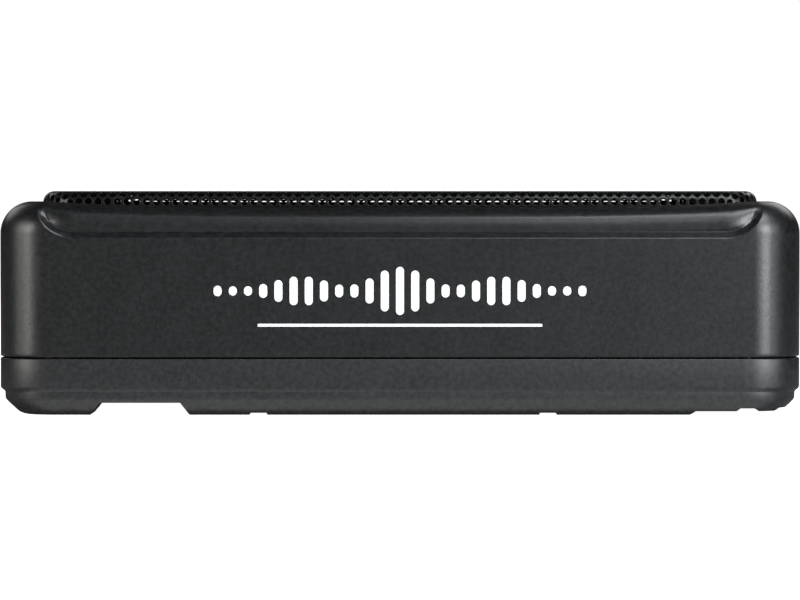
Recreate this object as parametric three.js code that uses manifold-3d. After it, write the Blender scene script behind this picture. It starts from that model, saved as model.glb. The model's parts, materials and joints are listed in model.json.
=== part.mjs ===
// Powered under-seat car subwoofer: a flat two-part housing with a grille pan on top, a shallow driver that
// fires up through it, a class-AB amplifier behind the driver and a recessed connection panel at the rear.
// Millimetres, +Z up. The plain short side faces -Y and the connection panel faces +Y. The origin is the
// centre of the footprint, on the surface that the object stands on.
import * as THREE from 'three';
import { mergeVertices } from 'three/addons/utils/BufferGeometryUtils.js';
import Module from 'manifold-3d';

const wasm = await Module();
wasm.setup();

// ---------------------------------------------------------------- driving dimensions

const width = 250;
const depth = 345;
const halfX = width / 2;
const halfY = depth / 2;
const gap = 0.3; // between pieces that touch

const housing = {
  top: 66.3, // the flat rim round the grille
  topFillet: 10,
  cornerRadius: 15.6,
  wall: 3,
  seam: 18,
  seamGap: 0.9,
  rabbetInset: 1.1,
  rabbetTop: 19.5,
};
const innerY = halfY - housing.wall;
const innerRadius = housing.cornerRadius - housing.wall;

const scoop = { halfWidth: 113, bottom: 55.1, cornerRadius: 11, band: 2, depth: 1.6 };

const grille = { inset: 12.6, rise: 3.2, edge: 3.5, sheet: 1, cornerRadius: 12, ledgeZ: 62 };
const recessRoom = 0.8; // between the grille's side and the recess that it sits in
const recessInset = grille.inset - recessRoom;
const ledge = 3.5; // width of the ledge that the grille stands on

const deck = { bottom: 50, top: 53 };

// The base: one flat belly down the middle, a pair of pads on the left and a pair on the right. The floor is
// thinner over the belly. Off the belly and the pads, the underside is relieved up to floorBottom.
const base = {
  stepZ: 7.9,
  stepInX: 1.5,
  stepInY: 0.4,
  // The lower edge as [z, inwards] on the long sides. On the short sides it goes inwards by a share of that.
  lowerEdge: [
    [0, 7],
    [0.5, 5],
    [1.2, 3.9],
    [3.8, 0.9],
    [5, 0],
  ],
  shortSideShare: 0.6,
  floorBottom: 3.9,
  floorTop: 6.4,
  bellyFloorTop: 2.6,
  bellyLeft: -65.3,
  bellyRight: 90,
  padDepth: 24,
  leftPadInner: -96.2,
  leftSlopes: [3.2, 2.8], // how far the relief's ends slope, at the pad and at the belly
  rightPadZ: 1.2,
  rightSlope: 1.8,
  archX: [104.4, 105.6, 110.2, 111.4], // a shallow arch in the right pads
  archZ: 2.1,
  toeX: [116.5, 118.1], // where the right pads turn up to their outer edge
  notchX: [-44, 46],
  notchHalf: [3.3, 2.6], // half a notch's width, at its mouth and at its roof
  notchHigh: 0.7,
};

const driverY = -45;
const driver = {
  flangeRadius: 106,
  flangeBottom: deck.top + gap,
  flangeThick: 2.5,
  wallRadius: 94.2,
  screwCircle: 102,
  rollCentre: 84,
  rollRadius: 6.1,
  coneRim: 78,
  neck: 19.2,
  magnetRadius: 50,
};
const round = 30; // facets round the driver's axis

// The connection panel, and the pocket in the upper housing that it closes.
const panel = { halfX: 92, bottom: 22, top: 50, outerY: 164.2, thick: 2.2, screwX: 88, screwZ: [26, 46] };
const pocket = { frontY: 153, floorBottom: 19.6, bossInnerX: 84.5, bossHigh: 8 };
const controlBoard = { halfX: 83, thick: 1.6, bottom: 23, top: 49 };
const shaftStartY = pocket.frontY + controlBoard.thick + gap;

const board = { halfX: 98, front: 66, back: 152, bottom: 12, thick: 1.6, postRadius: 3.2, holeRadius: 1.7 };
const boardTop = board.bottom + board.thick;
const boardRest = boardTop + gap; // what the parts on the board stand on

// The screws that come up through the base, heads sunk, and into posts under the deck.
const housingScrew = { head: 3.8, well: 4.3, seat: 9, shank: 1.3, clearance: 1.9, pilot: 1.6, length: 21 };
const post = { upperRadius: 5, lowerRadius: 6.5, split: 17 };
const insert = { radius: 2.5, wall: 5, deep: 7, top: 9 };

const housingScrews = [
  [-107.5, -160],
  [107.5, -160],
  [-113, 0],
  [113, 0],
  [-107.5, 160],
  [107.5, 160],
];
const boardPosts = [
  [-92, 72],
  [92, 72],
  [-92, 146],
  [92, 146],
];

// ---------------------------------------------------------------- materials

const material = (color, roughness, metalness = 0) =>
  new THREE.MeshStandardMaterial({ color, roughness, metalness });
const blackShell = material(0x1d1e20, 0.5);
const greyShell = material(0x2b2c2f, 0.55, 0.3);
const grilleSteel = material(0x141415, 0.45, 0.3);
const blackSteel = material(0x1a1a1b, 0.5, 0.5);
const foam = material(0x0d0d0d, 0.95);
const rubber = material(0x121212, 0.8);
const paper = material(0x1b1b1d, 0.85);
const capGloss = material(0x101012, 0.3);
const aluminium = material(0xb9bcc0, 0.35, 0.9);
const copper = material(0xb4693a, 0.4, 0.9);
const cloth = material(0x8d6b3c, 0.9);
const zincSteel = material(0xa8a9ab, 0.4, 0.9);
const ferrite = material(0x2a2a2c, 0.75);
const blackPlastic = material(0x151515, 0.55);
const circuitGreen = material(0x12452b, 0.5);
const epoxy = material(0x1c1c1e, 0.6);
const sleeve = material(0x1f2430, 0.35);
const gold = material(0xd0a548, 0.3, 0.9);
const amberPlastic = material(0xc8862a, 0.35);
const ledBlue = material(0x4f8fe0, 0.3);

// ---------------------------------------------------------------- solids

// A closed geometry as a manifold solid. Triangles that a lathe collapses onto its axis are dropped.
function solid(geometry) {
  const bare = geometry.clone();
  bare.deleteAttribute('normal');
  bare.deleteAttribute('uv');
  const merged = mergeVertices(bare, 1e-4);
  const index = merged.index.array;
  const kept = [];
  for (let i = 0; i < index.length; i += 3) {
    const [a, b, c] = index.slice(i, i + 3);
    if (a !== b && b !== c && c !== a) kept.push(a, b, c);
  }
  return new wasm.Manifold(
    new wasm.Mesh({
      numProp: 3,
      vertProperties: merged.attributes.position.array,
      triVerts: new Uint32Array(kept),
    }),
  );
}

function geometryOf(shape) {
  const mesh = shape.getMesh();
  return new THREE.BufferGeometry()
    .setAttribute('position', new THREE.BufferAttribute(mesh.vertProperties, 3))
    .setIndex(new THREE.BufferAttribute(mesh.triVerts, 1))
    .toNonIndexed();
}

const joined = (first, ...others) => others.reduce((sum, other) => sum.add(other), first);
const cut = (first, ...others) => others.reduce((rest, other) => rest.subtract(other), first);

const block = (x0, x1, y0, y1, z0, z1) =>
  solid(
    new THREE.BoxGeometry(x1 - x0, y1 - y0, z1 - z0).translate(
      (x0 + x1) / 2,
      (y0 + y1) / 2,
      (z0 + z1) / 2,
    ),
  );

// An upright round bar at x, y.
const bar = (x, y, radius, z0, z1, facets = 8) =>
  solid(
    new THREE.CylinderGeometry(radius, radius, z1 - z0, facets)
      .rotateX(Math.PI / 2)
      .translate(x, y, (z0 + z1) / 2),
  );

// A round bar that runs along Y at x, z.
const barY = (x, z, radius, y0, y1, facets = 8) =>
  solid(new THREE.CylinderGeometry(radius, radius, y1 - y0, facets).translate(x, (y0 + y1) / 2, z));

// An outline of [radius, height] points, anticlockwise, turned round the Z axis. It starts and ends on the
// axis, or it is a ring's and is closed here.
function turned(profile, facets = round) {
  const closed = profile[0][0] === 0 ? profile : [...profile, profile[0]];
  const points = closed.map(([radius, height]) => new THREE.Vector2(radius, height));
  return new THREE.LatheGeometry(points, facets).rotateX(Math.PI / 2);
}

const arc = (centreR, centreZ, radius, from, to, steps) =>
  Array.from({ length: steps + 1 }, (_, i) => {
    const angle = THREE.MathUtils.degToRad(from + ((to - from) * i) / steps);
    return [centreR + radius * Math.cos(angle), centreZ + radius * Math.sin(angle)];
  });

// A stack of rounded rectangles, from the bottom up, each given as [z, inset in X, inset in Y].
function stack(levels, radius, cornerSteps = 4) {
  const ring = ([z, insetX, insetY]) => {
    const r = radius - (insetX + insetY) / 2;
    const points = [];
    [
      [1, 1],
      [-1, 1],
      [-1, -1],
      [1, -1],
    ].forEach(([sideX, sideY], corner) => {
      for (let i = 0; i <= cornerSteps; i++) {
        const angle = ((corner + i / cornerSteps) * Math.PI) / 2;
        points.push(
          sideX * (halfX - insetX - r) + r * Math.cos(angle),
          sideY * (halfY - insetY - r) + r * Math.sin(angle),
          z,
        );
      }
    });
    return points;
  };
  const count = 4 * (cornerSteps + 1);
  const index = [];
  for (let level = 0; level < levels.length - 1; level++) {
    for (let i = 0; i < count; i++) {
      const a = level * count + i;
      const b = level * count + ((i + 1) % count);
      index.push(a, b, b + count, a, b + count, a + count);
    }
  }
  const top = (levels.length - 1) * count;
  for (let i = 1; i < count - 1; i++) {
    index.push(0, i + 1, i);
    index.push(top, top + i, top + i + 1);
  }
  return solid(
    new THREE.BufferGeometry()
      .setAttribute('position', new THREE.Float32BufferAttribute(levels.flatMap(ring), 3))
      .setIndex(index),
  );
}

// Levels of a quarter-round upper edge: the first is the upright side, the last is the flat top.
const roundedEdge = (sideZ, size, steps, inset = 0) =>
  Array.from({ length: steps + 1 }, (_, i) => {
    const angle = (i / steps) * (Math.PI / 2);
    const inwards = inset + size * (1 - Math.cos(angle));
    return [sideZ + size * Math.sin(angle), inwards, inwards];
  });

// A pan or hole with upright sides, inset from the housing's outline.
const uprightPrism = (insetX, insetY, radius, z0, z1) => {
  const extra = (insetX + insetY) / 2;
  return stack(
    [
      [z0, insetX, insetY],
      [z1, insetX, insetY],
    ],
    radius + extra,
  );
};

// A prism along Y from an outline of [x, z] points.
function prismAlongY(outline, y0, y1) {
  const shape = new THREE.Shape(outline.map(([x, z]) => new THREE.Vector2(x, z)));
  const geometry = new THREE.ExtrudeGeometry(shape, { depth: y1 - y0, bevelEnabled: false });
  return solid(geometry.rotateX(Math.PI / 2).translate(0, y1, 0));
}

function group(name, ...members) {
  const made = new THREE.Group();
  made.name = name;
  made.add(...members);
  return made;
}

function part(name, shape, look) {
  const geometry = shape.isBufferGeometry ? shape : geometryOf(shape);
  const mesh = new THREE.Mesh(geometry, look);
  mesh.name = name;
  return mesh;
}

// ---------------------------------------------------------------- housing

// The outside of the upper shell, optionally shrunk by an even skin.
const upperOutside = (skin = 0) =>
  stack(
    [
      [housing.seam + housing.seamGap / 2, skin, skin],
      ...roundedEdge(housing.top - housing.topFillet, housing.topFillet - skin, 4, skin),
    ],
    housing.cornerRadius,
  );

// The groove that outlines the scoop on a short side: a band between two U-shaped outlines.
function scoopGroove(side) {
  const outline = (shrink) => {
    const reach = scoop.halfWidth - shrink;
    const low = scoop.bottom + shrink;
    const r = scoop.cornerRadius - shrink;
    const bend = arc(reach - r, low + r, r, -90, 0, 3);
    return [
      ...bend,
      [reach, housing.top + 2],
      [-reach, housing.top + 2],
      ...bend.reverse().map(([x, z]) => [-x, z]),
    ];
  };
  const [y0, y1] = [side * (halfY + 1), side * (halfY - housing.topFillet)].sort((a, b) => a - b);
  const band = cut(prismAlongY(outline(0), y0, y1), prismAlongY(outline(scoop.band), y0 - 1, y1 + 1));
  const around = uprightPrism(-1, -1, housing.cornerRadius, scoop.bottom - 15, housing.top + 4);
  return band.intersect(cut(around, upperOutside(scoop.depth)));
}

// The pocket round the connection panel: side walls, a floor, and a screw boss in each corner.
function panelPocket() {
  const { frontY, floorBottom, bossInnerX, bossHigh } = pocket;
  const outX = panel.halfX + housing.wall;
  const walls = [-1, 1].map((side) => {
    const [x0, x1] = [side * panel.halfX, side * outX].sort((a, b) => a - b);
    return block(x0, x1, frontY, halfY - 1, floorBottom, deck.bottom + 1);
  });
  const floor = block(-outX, outX, frontY, halfY - 1, floorBottom, panel.bottom);
  const bosses = [-1, 1].flatMap((side) => {
    const [x0, x1] = [side * bossInnerX, side * (panel.halfX + 1)].sort((a, b) => a - b);
    const behind = panel.outerY - panel.thick - gap;
    return [
      block(x0, x1, frontY, behind, panel.bottom - 1, panel.bottom + bossHigh),
      block(x0, x1, frontY, behind, panel.top - bossHigh, panel.top + 1),
    ];
  });
  return joined(...walls, floor, ...bosses);
}

function upperHousing() {
  const { wall, seam, cornerRadius, rabbetInset, rabbetTop } = housing;
  const recessRadius = grille.cornerRadius + recessRoom;
  const wellInset = recessInset + ledge;
  const cavity = uprightPrism(wall, wall, innerRadius, seam - 1, deck.bottom);
  const recess = uprightPrism(recessInset, recessInset, recessRadius, grille.ledgeZ, housing.top + 4);
  const well = uprightPrism(wellInset, wellInset, recessRadius - ledge, deck.top, grille.ledgeZ + 1);
  const rabbet = uprightPrism(rabbetInset, rabbetInset, cornerRadius - rabbetInset, seam - 1, rabbetTop);
  const cutout = bar(0, driverY, driver.wallRadius + 0.8, deck.bottom - 1, deck.top + 1, round);
  const window = block(-panel.halfX, panel.halfX, pocket.frontY - 13, halfY + 1, panel.bottom, panel.top);

  let shell = cut(upperOutside(), cavity, recess, well, rabbet, cutout, scoopGroove(-1), scoopGroove(1));
  shell = cut(shell, window);
  shell = joined(shell, panelPocket());
  const [postBottom, pilotTop] = [post.split + 0.4, post.split + 15];
  const upperPost = ([x, y]) => bar(x, y, post.upperRadius, postBottom, deck.bottom + 1);
  shell = joined(shell, ...housingScrews.map(upperPost));
  shell = cut(shell, ...housingScrews.map(([x, y]) => bar(x, y, housingScrew.pilot, post.split, pilotTop)));
  const throughDeck = ([x, y]) => bar(x, y + driverY, 2, deck.bottom - 1, deck.top + 1);
  shell = cut(shell, ...driverScrewPlaces().map(throughDeck));
  const panelPilot = ([x, z]) => barY(x, z, 1.5, pocket.frontY + 1, panel.outerY - 1.2);
  return cut(shell, ...panelScrewPlaces().map(panelPilot));
}

// What is cut from the underside, as [x, z] outlines and how far they run along Y.
function undersideCuts() {
  const low = -2;
  const far = halfY + 1;
  const { bellyLeft, bellyRight, leftPadInner, rightPadZ, rightSlope, archX, archZ, toeX, notchHigh } = base;
  const [padSlope, bellySlope] = base.leftSlopes;
  const [mouth, roof] = base.notchHalf;
  const strap = [
    [leftPadInner, low],
    [bellyLeft, low],
    [bellyLeft, 0],
    [bellyLeft - bellySlope, base.floorBottom],
    [leftPadInner + padSlope, base.floorBottom],
    [leftPadInner, 0],
  ];
  const right = [
    [bellyRight, low],
    [halfX + 1, low],
    [halfX + 1, archZ],
    [toeX[1], archZ],
    [toeX[0], rightPadZ],
    [archX[3], rightPadZ],
    [archX[2], archZ],
    [archX[1], archZ],
    [archX[0], rightPadZ],
    [bellyRight + rightSlope, rightPadZ],
    [bellyRight, 0],
  ];
  const notch = (x) => [
    [x - mouth, low],
    [x + mouth, low],
    [x + roof, notchHigh],
    [x - roof, notchHigh],
  ];
  const betweenPads = (x0, x1) => {
    const reach = halfY - base.padDepth;
    return block(x0, x1, -reach, reach, low, base.floorBottom);
  };
  return [
    prismAlongY(strap, -far, far),
    prismAlongY(right, -far, far),
    ...base.notchX.map((x) => prismAlongY(notch(x), -far, far)),
    betweenPads(-halfX - 1, leftPadInner + padSlope),
    betweenPads(bellyRight + rightSlope, halfX + 1),
  ];
}

const bracketInserts = [-152, 152].flatMap((y) => [-54, 78].map((x) => [x, y]));

function lowerHousing() {
  const { stepZ, stepInX, stepInY, floorTop, bellyFloorTop } = base;
  const rim = housing.seam - housing.seamGap / 2;
  const upperTier = stack(
    [
      [stepZ - 0.8, 1.2, 1.2],
      [stepZ, 0.3, 0.3],
      [stepZ + 0.9, 0, 0],
      [rim, 0, 0],
    ],
    housing.cornerRadius,
  );
  const lowerEdge = base.lowerEdge.map(([z, inwards]) => {
    return [z, stepInX + inwards, stepInY + inwards * base.shortSideShare];
  });
  const lowerTier = stack([...lowerEdge, [stepZ, stepInX, stepInY]], housing.cornerRadius);
  const cavity = uprightPrism(housing.wall, housing.wall, innerRadius, floorTop, housing.seam + 1);
  const bellyY = innerY - 4;
  const [bellyX0, bellyX1] = [base.bellyLeft + 3.3, base.bellyRight - 3];
  const belly = block(bellyX0, bellyX1, -bellyY, bellyY, bellyFloorTop, floorTop + 1);
  const { well, seat, clearance } = housingScrew;
  let tray = cut(joined(upperTier, lowerTier), cavity, belly);
  const postFoot = base.floorBottom + 0.6;
  tray = joined(tray, ...housingScrews.map(([x, y]) => bar(x, y, post.lowerRadius, postFoot, post.split)));
  tray = joined(tray, ...boardPosts.map(([x, y]) => bar(x, y, board.postRadius, 2, board.bottom - gap)));
  tray = joined(tray, ...bracketInserts.map(([x, y]) => bar(x, y, insert.wall, 1, insert.top)));
  tray = cut(tray, ...undersideCuts());
  tray = cut(tray, ...housingScrews.map(([x, y]) => bar(x, y, well, -1, seat)));
  tray = cut(tray, ...housingScrews.map(([x, y]) => bar(x, y, clearance, seat - 1, post.split + 1)));
  tray = cut(tray, ...bracketInserts.map(([x, y]) => bar(x, y, insert.radius, -1, insert.deep)));
  return cut(tray, ...boardPosts.map(([x, y]) => bar(x, y, 1.3, insert.deep, board.bottom + 1)));
}

// The foam seal that fills the rabbet behind the seam.
function housingGasket() {
  const [z0, z1] = [housing.seam - housing.seamGap / 2 + gap, housing.rabbetTop - gap];
  const inset = housing.rabbetInset + gap;
  const outer = uprightPrism(inset, inset, housing.cornerRadius - inset, z0, z1);
  const inner = uprightPrism(housing.wall, housing.wall, innerRadius, z0 - 1, z1 + 1);
  return cut(outer, inner);
}

// The grille pan. Its perforations are too fine for this model.
function grillePan() {
  const top = housing.top + grille.rise;
  const pan = (skin) =>
    stack(
      [
        [grille.ledgeZ + gap - (skin ? 1 : 0), grille.inset + skin, grille.inset + skin],
        ...roundedEdge(top - grille.edge, grille.edge - skin, 3, grille.inset + skin),
      ],
      grille.cornerRadius + grille.inset,
    );
  return cut(pan(0), pan(grille.sheet));
}

// ---------------------------------------------------------------- driver, about its own axis

const flangeTop = driver.flangeBottom + driver.flangeThick;
const spiderZ = 38.5; // the underside of the spider
const motor = {
  yokeBottom: 4.3,
  yokeTop: 10.3,
  magnetBore: 26,
  magnetTop: 22.6,
  plateBore: 20.9,
  plateRadius: 48,
  plateTop: 28.4,
  poleRadius: 17.7,
  ventRadius: 5,
};
const coil = { outer: 20.2, bottom: 18.7, top: 31.7 };
const former = { inner: 18.3, outer: 18.9, bottom: 18, top: 43.5 };
const terminalBlock = { halfX: 16, y0: 60, y1: 68, z0: 31.5, z1: 35.3 };
const ringPlaces = (radius, count, startDegrees) =>
  Array.from({ length: count }, (_, i) => {
    const angle = THREE.MathUtils.degToRad(startDegrees + (360 * i) / count);
    return [radius * Math.cos(angle), radius * Math.sin(angle)];
  });
function driverScrewPlaces() {
  return ringPlaces(driver.screwCircle, 6, 0);
}

// A pressed frame: motor plate, riser, spider ledge, six arms and the flange.
function driverBasket() {
  const bottom = motor.plateTop + gap;
  const body = solid(
    turned([
      [23, bottom],
      [53, bottom],
      [53, 35.7],
      [58.5, 35.7],
      [88, 39.6],
      [driver.wallRadius, 48.6],
      [driver.wallRadius, driver.flangeBottom],
      [driver.flangeRadius, driver.flangeBottom],
      [driver.flangeRadius, flangeTop],
      [91.7, flangeTop],
      [91.7, 49.4],
      [86.6, 42.2],
      [58, spiderZ - gap],
      [50, spiderZ - gap],
      [50, bottom + driver.flangeThick],
      [23, bottom + driver.flangeThick],
    ]),
  );
  const windowHalf = THREE.MathUtils.degToRad(21);
  const [windowInner, windowOuter, windowBottom, windowTop] = [61, 98, 34, 50.3];
  const windows = Array.from({ length: 6 }, (_, i) => {
    const middle = (i * Math.PI) / 3;
    const shape = new THREE.Shape();
    shape.absarc(0, 0, windowOuter, middle - windowHalf, middle + windowHalf, false);
    shape.absarc(0, 0, windowInner, middle + windowHalf, middle - windowHalf, true);
    const options = { depth: windowTop - windowBottom, bevelEnabled: false, curveSegments: 3 };
    return solid(new THREE.ExtrudeGeometry(shape, options).translate(0, 0, windowBottom));
  });
  const holes = driverScrewPlaces().map(([x, y]) => bar(x, y, 2, driver.flangeBottom - 1, flangeTop + 1));
  return cut(body, ...windows, ...holes);
}

// A half-roll of rubber between the flange and the cone's rim.
function surroundRing() {
  const under = flangeTop + gap;
  const sheet = 0.9;
  const [inner, outer] = [75, 98];
  const { rollCentre, rollRadius } = driver;
  return turned([
    [inner, under],
    ...arc(rollCentre, under, rollRadius - sheet, 180, 0, 5),
    [outer, under],
    [outer, under + sheet],
    ...arc(rollCentre, under + 0.4, rollRadius, 5, 175, 5),
    [inner, under + sheet],
  ]);
}

const coneShell = () =>
  turned([
    [driver.neck, 41.6],
    [40, 45.4],
    [74.6, 54.3],
    [driver.coneRim, 54.4],
    [driver.coneRim, flangeTop - 0.1],
    [74.3, flangeTop - 0.1],
    [39.6, 46.9],
    [driver.neck, 43.1],
  ]);

function dustCap() {
  const outer = 31;
  const rise = 7.6;
  const edgeZ = 46.2;
  const dome = (radius, height, steps) =>
    Array.from({ length: steps + 1 }, (_, i) => {
      const share = i / steps;
      return [radius * (1 - share), edgeZ + height * (1 - (1 - share) ** 2)];
    });
  return turned([...dome(outer - 1.6, rise - 1, 3).reverse(), ...dome(outer, rise, 3)]);
}

const ring = (inner, outer, z0, z1) =>
  turned([
    [inner, z0],
    [outer, z0],
    [outer, z1],
    [inner, z1],
  ]);

// A corrugated cloth disc from the former out to the basket's ledge.
function spiderDisc() {
  const thick = 0.9;
  const waves = [29, 34, 39].map((radius, i) => [radius, spiderZ + (i % 2 ? 0 : 1.6)]);
  const under = [[19.3, spiderZ], [24, spiderZ], ...waves, [44, spiderZ], [57, spiderZ]];
  const over = under.map(([radius, z]) => [radius, z + thick]).reverse();
  return turned([...under, ...over], 24);
}

// The yoke plate and the vented pole, forged in one.
const poleYoke = () =>
  turned([
    [motor.ventRadius, motor.yokeBottom],
    [driver.magnetRadius, motor.yokeBottom],
    [driver.magnetRadius, motor.yokeTop],
    [motor.poleRadius, motor.yokeTop],
    [motor.poleRadius, motor.plateTop + 0.1],
    [motor.ventRadius, motor.plateTop + 0.1],
  ]);

// A braided lead from the terminal block, through a basket window, to the underside of the cone.
function tinselLead(side) {
  const route = new THREE.CatmullRomCurve3([
    new THREE.Vector3(side * 12, 64, terminalBlock.z1 + gap),
    new THREE.Vector3(side * 12, 63, 39),
    new THREE.Vector3(side * 11.5, 55, 43.2),
    new THREE.Vector3(side * 11, 44, 43.9),
    new THREE.Vector3(side * 10, 33, 43.1),
  ]);
  const section = new THREE.Shape().absarc(0, 0, 0.8, 0, 2 * Math.PI);
  return new THREE.ExtrudeGeometry(section, { steps: 9, extrudePath: route, curveSegments: 3 });
}

// A pan-head screw that points down, its head's underside at z 0.
const screw = (headRadius, headHeight, shaftRadius, length) =>
  turned(
    [
      [0, -length],
      [shaftRadius, -length],
      [shaftRadius, 0],
      [headRadius, 0],
      [headRadius, headHeight],
      [0, headHeight],
    ],
    8,
  );

function driverGroup() {
  const { halfX: reach, y0, y1, z0, z1 } = terminalBlock;
  const terminals = block(-reach, reach, y0, y1, z0, z1);
  const topPlate = ring(motor.plateBore, motor.plateRadius, motor.magnetTop + gap, motor.plateTop);
  const magnet = ring(motor.magnetBore, driver.magnetRadius, motor.yokeTop + gap, motor.magnetTop);
  const made = group(
    'driver',
    part('driver_basket', driverBasket(), blackSteel),
    part('surround', surroundRing(), rubber),
    part('driver_gasket', ring(94.5, 98.6, flangeTop + 1.5, flangeTop + 3), foam),
    part('cone', coneShell(), paper),
    part('dust_cap', dustCap(), capGloss),
    part('voice_coil_former', ring(former.inner, former.outer, former.bottom, former.top), aluminium),
    part('voice_coil', ring(driver.neck, coil.outer, coil.bottom, coil.top), copper),
    part('spider', spiderDisc(), cloth),
    part('top_plate', topPlate, zincSteel),
    part('magnet', magnet, ferrite),
    part('pole_yoke', poleYoke(), zincSteel),
    part('driver_terminal_block', terminals, blackPlastic),
    part('tinsel_lead_left', tinselLead(-1), copper),
    part('tinsel_lead_right', tinselLead(1), copper),
  );
  driverScrewPlaces().forEach(([x, y], i) => {
    const fastener = part(`driver_screw_${i + 1}`, screw(3, 2, 1.6, 9), blackSteel);
    fastener.position.set(x, y, flangeTop + gap);
    made.add(fastener);
  });
  made.position.y = driverY;
  return made;
}

// ---------------------------------------------------------------- amplifier

function ampBoard() {
  const plate = block(-board.halfX, board.halfX, board.front, board.back, board.bottom, boardTop);
  const hole = ([x, y]) => bar(x, y, board.holeRadius, board.bottom - 1, boardTop + 1);
  return cut(plate, ...boardPosts.map(hole));
}

const spreader = { y: 131, halfX: 68, thick: 4, foot: 16, footThick: 3, top: 38 }; // y is the clamping face
const choke = { radius: 13.5, wound: 5.5 };

// An L-section bar that carries the transistors' heat.
function heatSpreader() {
  const { y, halfX: reach, thick, foot, footThick, top } = spreader;
  const upright = block(-reach, reach, y, y + thick, boardRest, top);
  return joined(upright, block(-reach, reach, y + thick - 1, y + foot, boardRest, boardRest + footThick));
}

// A TO-220 package: body, mounting tab with its hole, and three legs.
function transistor() {
  const body = block(-5, 5, -4.6, -0.1, 9, 18);
  const tab = cut(block(-5, 5, -1.4, 0, 9, 24.5), barY(0, 21.5, 1.7, -2, 1));
  const legs = [-2.54, 0, 2.54].map((x) => block(x - 0.5, x + 0.5, -3, -2.3, 0, 9.5));
  return joined(body, tab, ...legs);
}

const toroid = () => new THREE.TorusGeometry(choke.radius, choke.wound, 6, 16);

// A drum core with the winding between its flanges.
const drumInductor = () =>
  turned(
    [
      [0, 0],
      [11, 0],
      [11, 2.5],
      [9.5, 2.5],
      [9.5, 15.5],
      [11, 15.5],
      [11, 18],
      [0, 18],
    ],
    14,
  );

const capacitor = () =>
  turned(
    [
      [0, 0],
      [8, 0],
      [8, 30.6],
      [7.2, 31.4],
      [0, 31.4],
    ],
    12,
  );

function amplifierGroup() {
  const made = group('amplifier', part('amp_board', ampBoard(), circuitGreen));
  made.add(part('heat_spreader', heatSpreader(), aluminium));
  [-48, -16, 16, 48].forEach((x, i) => {
    const device = part(`power_transistor_${i + 1}`, transistor(), epoxy);
    device.position.set(x, spreader.y - gap, boardRest);
    made.add(device);
  });
  const supplyChoke = part('toroid_inductor', toroid(), copper);
  supplyChoke.position.set(-68, 98, boardRest + choke.wound);
  const output = part('output_inductor', drumInductor(), ferrite);
  output.position.set(-26, 92, boardRest);
  made.add(supplyChoke, output);
  [14, 35, 56].forEach((x, i) => {
    const can = part(`capacitor_${i + 1}`, capacitor(), sleeve);
    can.position.set(x, 90, boardRest);
    made.add(can);
  });
  const { halfX: reach, thick, bottom, top } = controlBoard;
  const upright = block(-reach, reach, pocket.frontY, pocket.frontY + thick, bottom, top);
  made.add(part('control_board', upright, circuitGreen));
  return made;
}

// ---------------------------------------------------------------- connection panel

const innerFace = panel.outerY - panel.thick;
const knobZ = 39;
const knobs = { level_knob: -45, low_pass_knob: -58, bass_boost_knob: -71 };
const jacks = { rca_jack_left: 43, rca_jack_right: 29 };
const jackX = -10;
const ledPlace = [-82, 28.5];
const lever = { x: -82, z: 36, halfWidth: 1.4, halfHeight: 1.5, travel: 2.5, room: 0.4 };
const powerBlock = { x0: 52, x1: 82, z0: 28, z1: 44 };
const fuseBlock = { x0: 22, x1: 46, z0: 27, z1: 45 };
const highLevelBlock = { x0: 0, x1: 16, z0: 30, z1: 42 };
const remoteBlock = { x0: -35, x1: -21, z0: 30, z1: 42 };
const connectorBack = 157;

function panelScrewPlaces() {
  return [-1, 1].flatMap((side) => panel.screwZ.map((z) => [side * panel.screwX, z]));
}

function rearPanel() {
  const plate = block(
    -panel.halfX + gap,
    panel.halfX - gap,
    innerFace,
    panel.outerY,
    panel.bottom + gap,
    panel.top - gap,
  );
  const [y0, y1] = [innerFace - 1, panel.outerY + 1];
  const windows = [powerBlock, fuseBlock, highLevelBlock, remoteBlock].map(({ x0, x1, z0, z1 }) =>
    block(x0 - gap, x1 + gap, y0, y1, z0 - gap, z1 + gap),
  );
  const slotHalf = lever.halfWidth + lever.room;
  const slotReach = lever.halfHeight + lever.room;
  const slot = block(
    lever.x - slotHalf,
    lever.x + slotHalf,
    y0,
    y1,
    lever.z - slotReach,
    lever.z + lever.travel + slotReach,
  );
  return cut(
    plate,
    ...windows,
    slot,
    ...Object.values(knobs).map((x) => barY(x, knobZ, 3.4, y0, y1, 12)),
    ...Object.values(jacks).map((z) => barY(jackX, z, 4.4, y0, y1, 12)),
    barY(...ledPlace, 1.8, y0, y1),
    ...panelScrewPlaces().map(([x, z]) => barY(x, z, 1.5, y0, y1)),
  );
}

// A knob on its shaft, with a pointer notch across the upper half of its face.
function knob(x) {
  const capBack = panel.outerY + 0.4;
  const capFace = capBack + 6.6;
  const body = joined(
    barY(x, knobZ, 3, shaftStartY, capBack + 1, 12),
    barY(x, knobZ, 4.8, capBack, capFace, 16),
  );
  return cut(body, block(x - 0.5, x + 0.5, capFace - 1, capFace + 1, knobZ + 0.8, knobZ + 6));
}

const connectorBody = ({ x0, x1, z0, z1 }, faceY) => block(x0, x1, connectorBack, faceY, z0, z1);

// Three cable entries side by side: supply, remote turn-on and ground.
const powerEntries = [57.4, 67, 76.6];
function powerTerminal() {
  const entries = powerEntries.map((x) => block(x - 3.3, x + 3.3, 159, 170, 30, 36.6));
  const screwWells = powerEntries.map((x) => barY(x, 40.6, 2.2, 163, 170));
  return cut(connectorBody(powerBlock, 168), ...entries, ...screwWells);
}

const fuseRows = [40.5, 31.5];
const fuseX = (fuseBlock.x0 + fuseBlock.x1) / 2;
const bladeReach = 7;
function fuseHolder() {
  const slots = fuseRows.flatMap((z) =>
    [-bladeReach, bladeReach].map((offset) =>
      block(fuseX + offset - 2.9, fuseX + offset + 2.9, 159, 168, z - 0.7, z + 0.7),
    ),
  );
  return cut(connectorBody(fuseBlock, 167), ...slots);
}

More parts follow.
